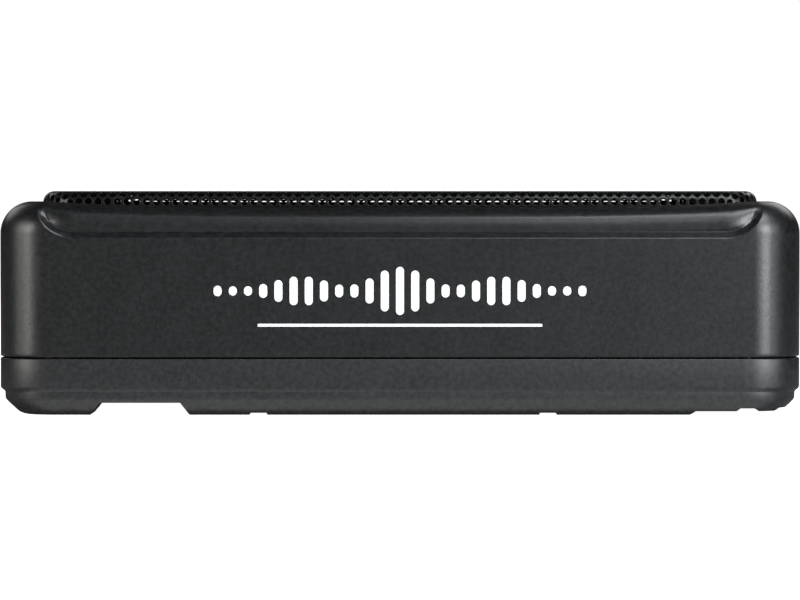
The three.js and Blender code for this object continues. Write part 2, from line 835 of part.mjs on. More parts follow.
// A blade fuse: its body stands proud of the holder and its two blades go in.
function bladeFuse(z) {
  const body = block(fuseX - 9.6, fuseX + 9.6, 167.3, 171.8, z - 2.5, z + 2.5);
  const blades = [-bladeReach, bladeReach].map((offset) =>
    block(fuseX + offset - 2.5, fuseX + offset + 2.5, 160, 167.5, z - 0.35, z + 0.35),
  );
  return joined(body, ...blades);
}

const highLevelSocket = () =>
  cut(connectorBody(highLevelBlock, 166.5), block(1.6, 14.4, 160, 170, 31.6, 40.4));

const remotePort = () => cut(connectorBody(remoteBlock, 166.5), block(-33.6, -22.4, 160, 170, 31.6, 40.2));

// An RCA jack: barrel, panel flange and the bore for the plug's pin.
function rcaJack(z) {
  const barrel = barY(jackX, z, 4.1, connectorBack, 171, 12);
  const flange = barY(jackX, z, 5.6, panel.outerY + gap, panel.outerY + 1.4, 12);
  return cut(joined(barrel, flange), barY(jackX, z, 1.7, 162, 172));
}

function phaseLever() {
  const { x, z, halfWidth, halfHeight } = lever;
  const [x0, x1] = [x - halfWidth, x + halfWidth];
  const stem = block(x0, x1, shaftStartY, panel.outerY + 3, z - halfHeight, z + halfHeight);
  const rib = block(x0, x1, panel.outerY + 1.4, panel.outerY + 3.8, z - 0.5, z + 0.5);
  return joined(stem, rib);
}

function panelGroup() {
  const made = group(
    'connection_panel',
    part('rear_panel', rearPanel(), blackPlastic),
    part('power_terminal', powerTerminal(), blackPlastic),
    part('fuse_holder', fuseHolder(), blackPlastic),
    part('high_level_socket', highLevelSocket(), blackPlastic),
    part('remote_port', remotePort(), blackPlastic),
    part('phase_switch_lever', phaseLever(), blackPlastic),
    part('power_led', barY(...ledPlace, 1.5, 155, 165.2), ledBlue),
  );
  fuseRows.forEach((z, i) => made.add(part(`fuse_${i + 1}`, bladeFuse(z), amberPlastic)));
  Object.entries(jacks).forEach(([name, z]) => made.add(part(name, rcaJack(z), gold)));
  Object.entries(knobs).forEach(([name, x]) => made.add(part(name, knob(x), blackPlastic)));
  panelScrewPlaces().forEach(([x, z], i) => {
    const fastener = part(`panel_screw_${i + 1}`, screw(2.4, 1.7, 1.2, 9), blackSteel);
    fastener.position.set(x, panel.outerY + gap, z);
    fastener.rotation.x = -Math.PI / 2;
    made.add(fastener);
  });
  return made;
}

// ---------------------------------------------------------------- the whole object

function housingGroup() {
  const made = group(
    'housing',
    part('upper_housing', upperHousing(), blackShell),
    part('lower_housing', lowerHousing(), greyShell),
    part('housing_gasket', housingGasket(), foam),
    part('grille', grillePan(), grilleSteel),
  );
  housingScrews.forEach(([x, y], i) => {
    const { head, shank, length } = housingScrew;
    const fastener = part(`housing_screw_${i + 1}`, screw(head, 3, shank, length), blackSteel);
    fastener.position.set(x, y, housingScrew.seat - gap);
    fastener.rotation.x = Math.PI;
    made.add(fastener);
  });
  return made;
}

const subwoofer = group('subwoofer', housingGroup(), driverGroup(), amplifierGroup(), panelGroup());

export default subwoofer;
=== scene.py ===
"""The looks of a powered under-seat subwoofer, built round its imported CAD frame.

Blender works in metres here, and every shape below is drawn in millimetres in the same frame: the plain
short side faces -Y, the connection panel faces +Y and +Z is up. MM turns one into the other.
"""

import json
import math
from types import SimpleNamespace

import bpy
import numpy as np
from mathutils import Matrix, Vector


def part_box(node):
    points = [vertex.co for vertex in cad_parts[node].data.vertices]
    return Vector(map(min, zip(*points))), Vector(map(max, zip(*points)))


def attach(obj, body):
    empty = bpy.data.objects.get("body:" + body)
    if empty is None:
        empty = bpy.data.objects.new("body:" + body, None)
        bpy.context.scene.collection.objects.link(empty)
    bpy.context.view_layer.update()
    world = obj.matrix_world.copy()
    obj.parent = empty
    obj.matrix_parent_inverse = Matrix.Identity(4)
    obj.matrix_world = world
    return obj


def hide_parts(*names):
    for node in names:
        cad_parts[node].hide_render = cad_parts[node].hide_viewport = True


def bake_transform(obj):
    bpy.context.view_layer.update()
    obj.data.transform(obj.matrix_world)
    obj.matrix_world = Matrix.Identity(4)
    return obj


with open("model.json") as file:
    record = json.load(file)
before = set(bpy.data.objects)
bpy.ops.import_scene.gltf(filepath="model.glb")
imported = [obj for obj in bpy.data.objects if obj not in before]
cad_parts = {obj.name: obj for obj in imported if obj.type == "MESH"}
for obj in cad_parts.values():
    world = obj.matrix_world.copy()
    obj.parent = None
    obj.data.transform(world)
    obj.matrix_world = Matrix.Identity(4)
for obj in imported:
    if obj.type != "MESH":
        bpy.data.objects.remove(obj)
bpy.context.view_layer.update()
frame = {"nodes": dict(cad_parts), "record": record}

MM = 0.001
SLOT_OF = {part["node"]: part["material_slot"] for part in frame["record"]["subparts"]}
BODY_OF = {node: body for body, nodes in frame["record"]["behaviour"]["bodies"].items() for node in nodes}


def box_mm(node):
    """Lowest and highest corner of a CAD node, in millimetres."""
    low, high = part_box(node)
    return np.array(low) / MM, np.array(high) / MM


# ---- sizes, in millimetres

_, UPPER_HIGH = box_mm("upper_housing")
_, LOWER_HIGH = box_mm("lower_housing")
GRILLE_LOW, GRILLE_HIGH = box_mm("grille")
PANEL_LOW, PANEL_HIGH = box_mm("rear_panel")
CONE_LOW, CONE_HIGH = box_mm("cone")
BOARD_LOW, BOARD_HIGH = box_mm("amp_board")
HALF_X, HALF_Y, TOP_Z = UPPER_HIGH
DRIVER_Y = (CONE_LOW[1] + CONE_HIGH[1]) / 2
GAP = 0.3
BOARD_REST = BOARD_HIGH[2] + GAP
BOARD_FACE = BOARD_HIGH[2] + 0.05
PANEL_FACE = PANEL_HIGH[1]
FLANGE_TOP = 55.8

SHELL = SimpleNamespace(fillet=10.0, corner=15.6, wall=3.0, edge=0.35, seam=0.5, rabbet=0.6)
SEAM_TOP = LOWER_HIGH[2] + SHELL.seam
RECESS = SimpleNamespace(inset=HALF_X - GRILLE_HIGH[0] - 0.8, corner=12.8, floor=GRILLE_LOW[2] - GAP,
                         ledge=3.5)
DECK = SimpleNamespace(top=53.0, bottom=50.0, cutout=95.0)
# The scoop on each short side: a bevelled step of this width and depth outlines it, and its face is dished.
SCOOP = SimpleNamespace(middle_z=55.95, bend=11.3, reach=112.0, half_band=1.08, end_half_band=1.2, step=2.35,
                        lip=0.12, front_sag=1.75, back_sag=0.3, settle=3.5, fade_from=61.0, fade_to=65.2)
BASE = SimpleNamespace(step_z=7.9, in_x=1.5, in_y=0.4, floor=6.4, belly_floor=2.6, relief=3.9)
# The base's lower edge as [z, inwards] on the long sides. The short sides have a share of it.
LOWER_EDGE = [(0, 7), (0.2, 5.9), (0.5, 5), (0.8, 4.4), (1.2, 3.9), (2, 3), (3, 1.85), (3.6, 1.2),
              (4.1, 0.7), (4.6, 0.25), (5.1, 0.05)]
SHORT_SIDE_SHARE = 0.6
GRILLE = SimpleNamespace(pitch=3.0425, first_row=0.644, hole=1.16, sides=12, sheet=1.0, edge=3.5, corner=12.0)
ROW_PITCH = GRILLE.pitch * math.sqrt(0.75)

HOUSING_SCREWS = [(side * x, y) for y, x in ((-160, 107.5), (0, 113), (160, 107.5)) for side in (-1, 1)]
DRIVER_SCREW_CIRCLE = 102
DRIVER_SCREWS = [(DRIVER_SCREW_CIRCLE * math.cos(a), DRIVER_Y + DRIVER_SCREW_CIRCLE * math.sin(a))
                 for a in np.radians(np.arange(0, 360, 60))]
PANEL_SCREWS = [(x, z) for x in (-88, 88) for z in (26, 46)]
BRACKET_INSERTS = [(x, y) for y in (-152, 152) for x in (-54, 78)]
BOARD_POSTS = [(x, y) for x in (-92, 92) for y in (72, 146)]

TRANSISTOR_X = [-48, -16, 16, 48]
SPREADER_Y, SPREADER_HALF = 131, 68
CAPACITOR_X, CAPACITOR_Y = [14, 35, 56], 90

# Connectors in the panel as [x0, x1, z0, z1, face].
CONNECTORS = {"power_terminal": (52, 82, 28, 44, 168), "fuse_holder": (22, 46, 27, 45, 167),
              "high_level_socket": (0, 16, 30, 42, 166.5), "remote_port": (-35, -21, 30, 42, 166.5)}
KNOBS = {"level_knob": -45, "low_pass_knob": -58, "bass_boost_knob": -71}
KNOB_Z = 39
CONNECTOR_BACK, CAVITY_BACK, PAST_FACES = 157, 160, 170
CONTROL_BOARD_Y, CONTROL_BACK = (153, 154.6), 154.9
JACKS = {"rca_jack_left": 43, "rca_jack_right": 29}
JACK_X = -10
LED_PLACE = (-82, 28.5)
LEVER_X, LEVER_Z = -82, 36
ENTRIES = [57.4, 67, 76.6]
TERMINAL_SCREW_Z = 40.6
FUSE_X, FUSE_ROWS, BLADE_AWAY = 34, [40.5, 31.5], (-7, 7)


# ---- mesh building

def linked(made):
    bpy.context.scene.collection.objects.link(made)
    return made


def solid(vertices, *face_blocks):
    """A piece from vertices in mm and blocks of faces."""
    places = np.asarray(vertices, float).reshape(-1, 3) * MM
    faces = [face for block in face_blocks for face in np.asarray(block).tolist()]
    mesh = bpy.data.meshes.new("shape")
    mesh.from_pydata(places, [], faces)
    mesh.validate()
    return linked(bpy.data.objects.new("shape", mesh))


def places_of(made):
    return np.array([v.co for v in made.data.vertices]) / MM


def move_to(made, places):
    made.data.vertices.foreach_set("co", (places * MM).ravel())


def apply_modifiers(made):
    bpy.context.view_layer.update()
    shaped = bpy.data.meshes.new_from_object(made.evaluated_get(bpy.context.evaluated_depsgraph_get()))
    made.modifiers.clear()
    made.data = shaped
    return made


def boolean(base, operation, tools):
    """Joins the tools to the base or cuts them from it, and removes them."""
    for tool in tools:
        step = base.modifiers.new("boolean", "BOOLEAN")
        step.operation = operation
        step.solver = "MANIFOLD"
        step.object = tool
    apply_modifiers(base)
    for tool in tools:
        bpy.data.objects.remove(tool)
    return base


def cut(base, *tools):
    return boolean(base, "DIFFERENCE", tools)


def join(base, *tools):
    return boolean(base, "UNION", tools)


def bevel_step(made, width, angle):
    step = made.modifiers.new("bevel", "BEVEL")
    step.width = width * MM
    step.limit_method = "ANGLE"
    step.angle_limit = math.radians(angle)
    return step


def bevel(made, width, segments=2):
    """Rounds the sharp edges by a width in mm."""
    bevel_step(made, width, 35).segments = segments
    return apply_modifiers(made)


def grid_faces(rows, columns, close_rows=False):
    """Quads of a grid whose columns close on themselves. Its rows may close too."""
    row = np.arange(rows if close_rows else rows - 1)[:, None] * columns
    after = (row + columns) % (rows * columns)
    column = np.arange(columns)[None, :]
    beside = (column + 1) % columns
    return np.stack([row + column, row + beside, after + beside, after + column], axis=-1).reshape(-1, 4)


def skin(rings, closed=False, inside_out=False):
    """A skin over rings of points, closed on itself or capped at both ends."""
    rings = np.asarray(rings, float)
    levels, count = rings.shape[:2]
    faces = [grid_faces(levels, count, closed)]
    if not closed:
        around = np.arange(count)[None, :]
        faces += [around[:, ::-1], around + (levels - 1) * count]
    if inside_out:
        faces = [block[:, ::-1] for block in faces]
    return solid(rings, *faces)


def rounded(points, radius, steps=3):
    """An outline with each of its corners rounded. Corners on the axis, at 0, stay."""
    points = [np.array(point, float) for point in points]
    made = []
    for i, corner in enumerate(points):
        if corner[0] == 0:
            made.append(corner)
            continue
        start, finish = (
            corner + (other - corner) * min(0.45, radius / max(1e-6, np.linalg.norm(other - corner)))
            for other in (points[i - 1], points[(i + 1) % len(points)])
        )
        for share in np.linspace(0, 1, steps + 1):
            made.append((1 - share) ** 2 * start + 2 * share * (1 - share) * corner + share ** 2 * finish)
    return made


def turned(profile, segments=64, centre=(0, 0, 0), axis="Z"):
    """An outline of [radius, height] points, anticlockwise, turned round an axis. It starts and ends on the
    axis, or else it closes on itself."""
    profile = np.array(profile, float)
    full = profile[0][0] == 0
    rings = profile[1:-1] if full else profile
    turn = np.arange(segments) * 2 * math.pi / segments
    radius, height = rings[:, :1], rings[:, 1:]
    circles = [radius * np.cos(turn), radius * np.sin(turn), height + 0 * turn]
    vertices = np.stack(circles, axis=-1).reshape(-1, 3)
    faces = [grid_faces(len(rings), segments, close_rows=not full)]
    if full:
        low, high = len(vertices), len(vertices) + 1
        vertices = np.concatenate([vertices, [[0, 0, profile[0][1]], [0, 0, profile[-1][1]]]])
        around = np.arange(segments)
        beside = (around + 1) % segments
        last = (len(rings) - 1) * segments
        bottom = np.stack([0 * around + low, beside, around], axis=-1)
        top = np.stack([0 * around + high, last + around, last + beside], axis=-1)
        faces.append(np.concatenate([bottom, top]))
    if axis == "Y":
        vertices = vertices[:, [0, 2, 1]] * [-1, 1, 1]
    return solid(vertices + np.array(centre, float), *faces)


def block(*sides):
    """A box from x0, x1, y0, y1, z0 and z1, each pair either way round."""
    xs, ys, zs = (sorted(pair) for pair in zip(sides[::2], sides[1::2]))
    corners = [(x, y, z) for z in zs for y in ys for x in xs]
    faces = [(0, 2, 3, 1), (4, 5, 7, 6), (0, 1, 5, 4), (2, 6, 7, 3), (0, 4, 6, 2), (1, 3, 7, 5)]
    return solid(corners, faces)


def slab(x, half_x, *sides):
    """A box about a middle x, from y0, y1, z0 and z1."""
    return block(x - half_x, x + half_x, *sides)


def disc(radius, z0, z1):
    return [(0, z0), (radius, z0), (radius, z1), (0, z1)]


def bar(x, y, radius, z0, z1, segments=32):
    return turned(disc(radius, z0, z1), segments, (x, y, 0))


def bar_y(x, z, radius, y0, y1, segments=32):
    return turned(disc(radius, y0, y1), segments, (x, 0, z), "Y")


def prism(outline, start, end, axis="Y"):
    """An outline of two-dimensional points, extruded. Along Y it is [x, z] and along Z it is [x, y]."""
    flat = np.array(outline, float)
    rings = [np.insert(flat, 1 if axis == "Y" else 2, level, axis=1) for level in (start, end)]
    area = np.sum(flat[:, 0] * np.roll(flat[:, 1], -1) - np.roll(flat[:, 0], -1) * flat[:, 1])
    return skin(rings, inside_out=(area > 0) != (axis == "Z"))


def smooth_route(points, count):
    """A smooth curve through points, as count points."""
    points = np.array(points, float)
    padded = np.concatenate([[2 * points[0] - points[1]], points, [2 * points[-1] - points[-2]]])
    made = []
    for place in np.linspace(0, len(points) - 1 - 1e-9, count):
        i = int(place)
        t = place - i
        p0, p1, p2, p3 = padded[i:i + 4]
        made.append(0.5 * (2 * p1 + (p2 - p0) * t + (2 * p0 - 5 * p1 + 4 * p2 - p3) * t * t
                           + (3 * p1 - p0 - 3 * p2 + p3) * t ** 3))
    return np.array(made)


def tube(route, radii, sides):
    """A closed tube along a route, with a radius for each of its vertices."""
    along = np.gradient(route, axis=0)
    along /= np.linalg.norm(along, axis=1)[:, None]
    side = np.cross(along, [0.31, 0.17, 0.93])
    side /= np.linalg.norm(side, axis=1)[:, None]
    up = np.cross(side, along)
    turn = (np.arange(sides) * 2 * math.pi / sides)[None, :, None]
    ring = side[:, None] * np.cos(turn) + up[:, None] * np.sin(turn)
    return skin(route[:, None] + radii.reshape(-1, sides, 1) * ring, inside_out=True)


def merged(parts):
    """Several loose pieces as one."""
    vertices, faces = [], []
    for part in parts:
        faces += [[[i + len(vertices) for i in face.vertices]] for face in part.data.polygons]
        vertices += list(places_of(part))
        bpy.data.objects.remove(part)
    return solid(vertices, *faces)


def finished(made, name, look, node=None, slot=None, body=None, weights=None, angle=35):
    """Names a piece and gives it its look and body. It stands for the CAD node given, or for the one of
    its own name, and rides where that does. A piece that stands for none rides on the cabinet. With weights
    it is left unattached, its transform applied; the weights themselves are not used."""
    node = node or (name if name in SLOT_OF else None)
    slot = slot or SLOT_OF.get(node)
    made.name = name
    made.data.name = name
    made.data.materials.clear()
    made.data.materials.append(look)
    if angle:
        made.data.shade_smooth()
        made.data.set_sharp_from_angle(angle=math.radians(angle))
    if weights is None:
        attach(made, body or BODY_OF.get(node, "cabinet"))
    else:
        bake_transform(made)
    if node:
        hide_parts(node)
    return made


def numbered(stem, look, pieces, **how):
    """Finishes like pieces, numbered from 1."""
    for number, made in enumerate(pieces, 1):
        finished(made, f"{stem}_{number}", look, **how)


# ---- materials

class Nodes:
    """A material's node tree, with short ways to add to it."""

    def __init__(self, name):
        self.material = bpy.data.materials.new(name)
        self.material.use_nodes = True
        self.tree = self.material.node_tree
        self.shader = self.tree.nodes["Principled BSDF"]
        self.place = self.add("TexCoord").outputs["Object"]

    def fill(self, node, values):
        """Fills a node's sockets by name: an output is wired to them and a plain value is set on them."""
        for key, value in values.items():
            socket = node.inputs[key]
            if isinstance(value, bpy.types.NodeSocket):
                self.tree.links.new(value, socket)
            else:
                socket.default_value = (*value, 1) if socket.type == "RGBA" else value

    def add(self, kind, values=(), **settings):
        node = self.tree.nodes.new("ShaderNode" + kind)
        for key, value in settings.items():
            setattr(node, key, value)
        self.fill(node, dict(values))
        return node

    def give(self, values):
        """Fills the shader's sockets."""
        self.fill(self.shader, values)

    def noise(self, scale, detail=2.0, stretch=None):
        """Noise over the piece, its scale in repeats to the metre."""
        place = self.place
        if stretch:
            place = self.add("Mapping", {"Vector": place, "Scale": stretch}).outputs["Vector"]
        return self.add("TexNoise", {"Vector": place, "Scale": scale, "Detail": detail}).outputs["Fac"]

    def wave(self, direction, per_metre, distortion):
        values = {"Vector": self.place, "Scale": per_metre, "Distortion": distortion}
        return self.add("TexWave", values, wave_type="BANDS", bands_direction=direction).outputs["Fac"]

    def spread(self, source, low, high, from_low=0.3, from_high=0.7):
        """A value between from_low and from_high, moved to the range low to high."""
        values = {"Value": source, "From Min": from_low, "From Max": from_high, "To Min": low, "To Max": high}
        return self.add("MapRange", values).outputs["Result"]

    def blend(self, share, first, second):
        """A colour between two others, each a socket or a plain colour."""
        node = self.add("Mix", data_type="RGBA")
        self.fill(node, {"Factor": share, "A": first, "B": second})
        return node.outputs["Result"]

    def bump(self, height, distance, strength=0.6):
        """Bump from a height, its depth in mm. It adds to the bump or rolled edge that is there."""
        node = self.add("Bump", {"Height": height, "Distance": distance * MM, "Strength": strength})
        normal = self.shader.inputs["Normal"]
        if normal.is_linked:
            self.fill(node, {"Normal": normal.links[0].from_socket})
        self.give({"Normal": node.outputs["Normal"]})


def shaded(colour, amount):
    return tuple(min(1.0, channel * amount) for channel in colour)


def surface(name, colour, roughness, metallic=0.0, mottle=0.12, mottle_scale=60, grain=0.02,
            grain_scale=2500, rough_spread=0.06, coat=0.0, specular=0.5, rolled_edge=0):
    """A moulded, painted or machined surface: slight colour and gloss variation and a fine grain. A rolled
    edge, in mm, softens its cut edges so that they catch the light."""
    nodes = Nodes(name)
    patches = nodes.spread(nodes.noise(mottle_scale, 3), 0, 1)
    gloss = nodes.noise(mottle_scale * 2.7, 2)
    nodes.give({
        "Base Color": nodes.blend(patches, shaded(colour, 1 - mottle), shaded(colour, 1 + mottle)),
        "Roughness": nodes.spread(gloss, roughness - rough_spread, roughness + rough_spread),
        "Metallic": metallic, "Coat Weight": coat, "Specular IOR Level": specular,
    })
    if rolled_edge:
        nodes.give({"Normal": nodes.add("Bevel", {"Radius": rolled_edge * MM}, samples=4).outputs["Normal"]})
    if grain:
        nodes.bump(nodes.noise(grain_scale, 2), grain)
    return nodes


def moulded_shell(name, colour, roughness):
    """Satin moulded plastic with a fine spark-eroded grain."""
    nodes = surface(name, colour, roughness, mottle=0.05, mottle_scale=30, grain=0.012, grain_scale=2600,
                    rough_spread=0.015, specular=0.6)
    specks = nodes.noise(650, 3)
    share = nodes.spread(specks, 0, 1, 0.35, 0.65)
    nodes.give({"Base Color": nodes.blend(share, shaded(colour, 0.3), shaded(colour, 1.7))})
    nodes.bump(specks, 0.11, 0.3)
    return nodes.material


def powder_coat(name, colour, roughness, rolled_edge=0):
    nodes = surface(name, colour, roughness, mottle=0.15, mottle_scale=120, grain_scale=1800, specular=0.35,
                    rolled_edge=rolled_edge)
    nodes.bump(nodes.noise(5200, 1), 0.008, 0.5)
    return nodes.material


def brushed(name, colour, roughness, stretch):
    """Metal with fine parallel scratches, which run along the axis with the smallest stretch."""
    nodes = surface(name, colour, roughness, metallic=1.0, mottle=0.06, grain=0)
    nodes.bump(nodes.noise(1.0, 3, stretch), 0.006, 0.5)
    return nodes.material


def wound(name, colour, axis, per_metre, roughness=0.32):
    """Enamelled wire laid side by side: a fine wave along the axis."""
    nodes = surface(name, colour, roughness, metallic=0.85, mottle=0.18, mottle_scale=150, grain=0)
    nodes.bump(nodes.wave(axis, per_metre, 0.4), 0.08, 0.8)
    return nodes.material


def woven(name, dark, light, per_metre, depth, roughness=0.85):
    """Cloth: two crossed waves for warp and weft."""
    nodes = Nodes(name)
    crossed = nodes.add("Math", operation="MULTIPLY")
    nodes.fill(crossed, {i: nodes.wave(axis, per_metre, 0.6) for i, axis in enumerate("XY")})
    height = crossed.outputs["Value"]
    nodes.give({
        "Base Color": nodes.blend(height, dark, light),
        "Roughness": nodes.spread(nodes.noise(200), roughness - 0.08, roughness + 0.08),
        "Sheen Weight": 0.2,
    })
    nodes.bump(height, depth, 0.8)
    return nodes.material


def pulp(name, colour):
    """Pressed paper pulp: matted fibres, some of them paler."""
    nodes = surface(name, colour, 0.82, mottle=0.25, mottle_scale=90, grain=0.05, grain_scale=1400)
    fibres = nodes.noise(1.0, 4, (2600, 420, 900))
    pale = nodes.spread(fibres, 0, 0.5, 0.56, 0.75)
    nodes.give({"Base Color": nodes.blend(pale, colour, shaded(colour, 3.2))})
    nodes.bump(fibres, 0.06, 0.5)
    return nodes.material


def solder_mask(name):
    """Green solder mask over copper: paler tracks show through where the copper lies."""
    nodes = surface(name, (0.012, 0.09, 0.04), 0.36, mottle=0.1, grain=0.01, grain_scale=1500, coat=0.2)
    values = {"Vector": nodes.place, "Scale": 60, "Mortar Size": 0.05, "Brick Width": 0.9, "Row Height": 0.16}
    tracks = nodes.add("TexBrick", values, offset=0.5).outputs["Fac"]
    nodes.give({"Base Color": nodes.blend(tracks, (0.01, 0.075, 0.033), (0.03, 0.17, 0.07))})
    nodes.bump(tracks, 0.035, 0.6)
    return nodes.material


def clear_tint(name, colour):
    """Clear coloured plastic with a slight haze."""
    nodes = surface(name, colour, 0.2, mottle=0.05, grain=0.0006, grain_scale=900, rough_spread=0.03)
    nodes.give({"Transmission Weight": 0.5, "IOR": 1.5})
    return nodes.material


def lamp_lens(name, colour, strength):
    nodes = surface(name, colour, 0.2, mottle=0.08, mottle_scale=400, grain=0.003, rough_spread=0.05)
    nodes.give({"Emission Color": colour, "Emission Strength": strength})
    return nodes.material


# Looks that are a plain surface, as [material's name, colour, roughness, anything else].
PLAIN = {
    "print": ("white_pad_print", (0.78, 0.79, 0.8), 0.5, dict(mottle=0.04, grain=0.01)),
    "plastic": ("connector_plastic", (0.014, 0.014, 0.015), 0.4, dict(grain=0.015)),
    "knob": ("knob_soft_plastic", (0.016, 0.016, 0.017), 0.6, dict(grain_scale=1800)),
    "foam": ("seal_foam", (0.008, 0.008, 0.008), 0.95, dict(grain=0.15, grain_scale=1100, rough_spread=0.03)),
    "rubber": ("surround_rubber", (0.012, 0.012, 0.0125), 0.62, dict(grain_scale=900, mottle=0.2)),
    "cap": ("cap_plastic", (0.011, 0.011, 0.0115), 0.28, dict(grain=0.006, coat=0.2)),
    "toroid": ("toroid_wire", (0.7, 0.3, 0.12), 0.28, dict(metallic=0.85, grain=0.01, mottle=0.15)),
    "ferrite": ("ferrite_ground", (0.03, 0.03, 0.032), 0.66,
                dict(mottle=0.25, mottle_scale=300, grain=0.05, grain_scale=1600)),
    "epoxy": ("moulded_epoxy", (0.016, 0.016, 0.017), 0.55, dict(grain=0.03, grain_scale=2200)),
    "sleeve": ("shrink_sleeve", (0.012, 0.016, 0.035), 0.3, dict(grain=0.01, coat=0.3)),
    "tin": ("tin_plate", (0.66, 0.66, 0.64), 0.3, dict(metallic=1.0, mottle=0.1, grain=0.01)),
    "gold": ("gold_plate", (0.83, 0.6, 0.22), 0.24, dict(metallic=1.0, mottle=0.06, grain=0.006)),
    "brass": ("brass_insert", (0.62, 0.45, 0.18), 0.36, dict(metallic=1.0, mottle=0.14)),
    "red": ("red_insulator", (0.55, 0.02, 0.02), 0.35, dict(mottle=0.06, grain=0.006)),
    "screw": ("black_phosphate", (0.02, 0.02, 0.021), 0.42,
              dict(metallic=0.6, mottle=0.2, mottle_scale=500, grain=0.012)),
}


def make_looks():
    looks = SimpleNamespace()
    for key, (name, colour, roughness, others) in PLAIN.items():
        setattr(looks, key, surface(name, colour, roughness, **others).material)
    looks.upper = moulded_shell("upper_shell_plastic", (0.0048, 0.0049, 0.0052), 0.35)
    looks.lower = moulded_shell("lower_shell_plastic", (0.0068, 0.007, 0.0075), 0.43)
    looks.panel = moulded_shell("panel_plastic", (0.012, 0.012, 0.013), 0.5)
    looks.grille = powder_coat("grille_powder_coat", (0.004, 0.004, 0.0043), 0.3, rolled_edge=0.3)
    looks.basket = powder_coat("basket_paint", (0.011, 0.011, 0.012), 0.42)
    looks.paper = pulp("cone_pulp", (0.014, 0.014, 0.0145))
    looks.aluminium = brushed("aluminium_extrusion", (0.72, 0.73, 0.75), 0.34, (40, 900, 2400))
    looks.former = brushed("former_foil", (0.75, 0.75, 0.76), 0.3, (500, 500, 3000))
    looks.zinc = brushed("zinc_plate", (0.62, 0.63, 0.62), 0.32, (700, 700, 700))
    looks.coil = wound("coil_winding", (0.72, 0.3, 0.13), "Z", 480)
    looks.braid = woven("lead_braid", (0.35, 0.16, 0.08), (0.85, 0.48, 0.26), 420, 0.05, 0.4)
    looks.spider = woven("spider_cloth", (0.26, 0.15, 0.05), (0.5, 0.33, 0.14), 180, 0.12)
    looks.board = solder_mask("solder_mask")
    looks.amber = clear_tint("fuse_amber", (0.95, 0.42, 0.05))
    looks.led = lamp_lens("led_lens", (0.12, 0.36, 0.9), 1.2)
    return looks


looks = make_looks()


# ---- housing shells

def plan_columns(fine_from, fine_step, coarse_step, arc_coarse=4.5):
    """Columns round a rounded rectangle, anticlockwise from the front left, closer together near the ends of
    the short sides. A column is [u, v, nx, ny]: u and v place it along the straight sides, from -1 to 1."""
    straight = HALF_X - SHELL.corner
    half = np.concatenate([np.arange(0, fine_from, coarse_step), np.arange(fine_from, straight, fine_step)])
    half = np.append(half, straight) / straight
    short = np.concatenate([-half[:0:-1], half])
    long = np.linspace(-1, 1, 13)
    fine_arc = math.degrees(fine_step / SHELL.corner)
    bend_end = 20 if fine_step < 1 else 2 * fine_arc
    arc = np.concatenate([np.arange(fine_arc, bend_end, fine_arc), np.arange(bend_end, 89, arc_coarse)])
    columns = [(u, -1, 0, -1) for u in short]
    quarters = [
        (1, -1, -90 + arc, [(1, v, 1, 0) for v in long]),
        (1, 1, 90 - arc[::-1], [(u, 1, 0, 1) for u in short[::-1]]),
        (-1, 1, 90 + arc, [(-1, v, -1, 0) for v in long[::-1]]),
        (-1, -1, 270 - arc[::-1], []),
    ]
    for u, v, angles, side in quarters:
        columns += [(u, v, math.cos(a), math.sin(a)) for a in np.radians(angles)]
        columns += side
    return np.array(columns, float)


def plan_ring(columns, z, half_x, half_y, corner):
    x = columns[:, 0] * (half_x - corner) + columns[:, 2] * corner
    y = columns[:, 1] * (half_y - corner) + columns[:, 3] * corner
    return np.stack([x, y, 0 * x + z], axis=-1)


def inset_ring(columns, z, inset_x, inset_y=None):
    """A ring set in from the housing's outline."""
    inset_y = inset_x if inset_y is None else inset_y
    corner = SHELL.corner - (inset_x + inset_y) / 2
    return plan_ring(columns, z, HALF_X - inset_x, HALF_Y - inset_y, corner)


def smoothstep(value):
    value = np.clip(value, 0, 1)
    return value * value * (3 - 2 * value)


def scoop_depth(columns, points):
    """How far the scoop sinks each point of the outer skin: a step along its outline, then a shallow dish."""
    x = np.abs(points[..., 0])
    z = points[..., 2]
    bend_x = SCOOP.reach - SCOOP.bend
    bend_z = SCOOP.middle_z + SCOOP.bend
    inside = np.where(x < bend_x, z - SCOOP.middle_z, SCOOP.bend - np.hypot(x - bend_x, z - bend_z))
    share = smoothstep((x - bend_x) / SCOOP.bend * 1.6)
    half_band = SCOOP.half_band + (SCOOP.end_half_band - SCOOP.half_band) * share
    softened = np.hypot(inside + half_band, SCOOP.lip) - np.hypot(inside - half_band, SCOOP.lip)
    ramp = 0.5 + softened / (4 * half_band)
    fade = 1 - smoothstep((z - SCOOP.fade_from) / (SCOOP.fade_to - SCOOP.fade_from))
    sag = np.where(points[..., 1] < 0, SCOOP.front_sag, SCOOP.back_sag)
    dish = sag * np.clip(1 - (x / SCOOP.reach) ** 4, 0, 1)
    settled = np.exp(-np.maximum(inside - half_band, 0) / SCOOP.settle)
    step = np.maximum(SCOOP.step * fade - dish, 0)
    on_short_side = (np.abs(columns[:, 3]) > 0.7)[None, :]
    return ramp * (dish + step * settled) * on_short_side


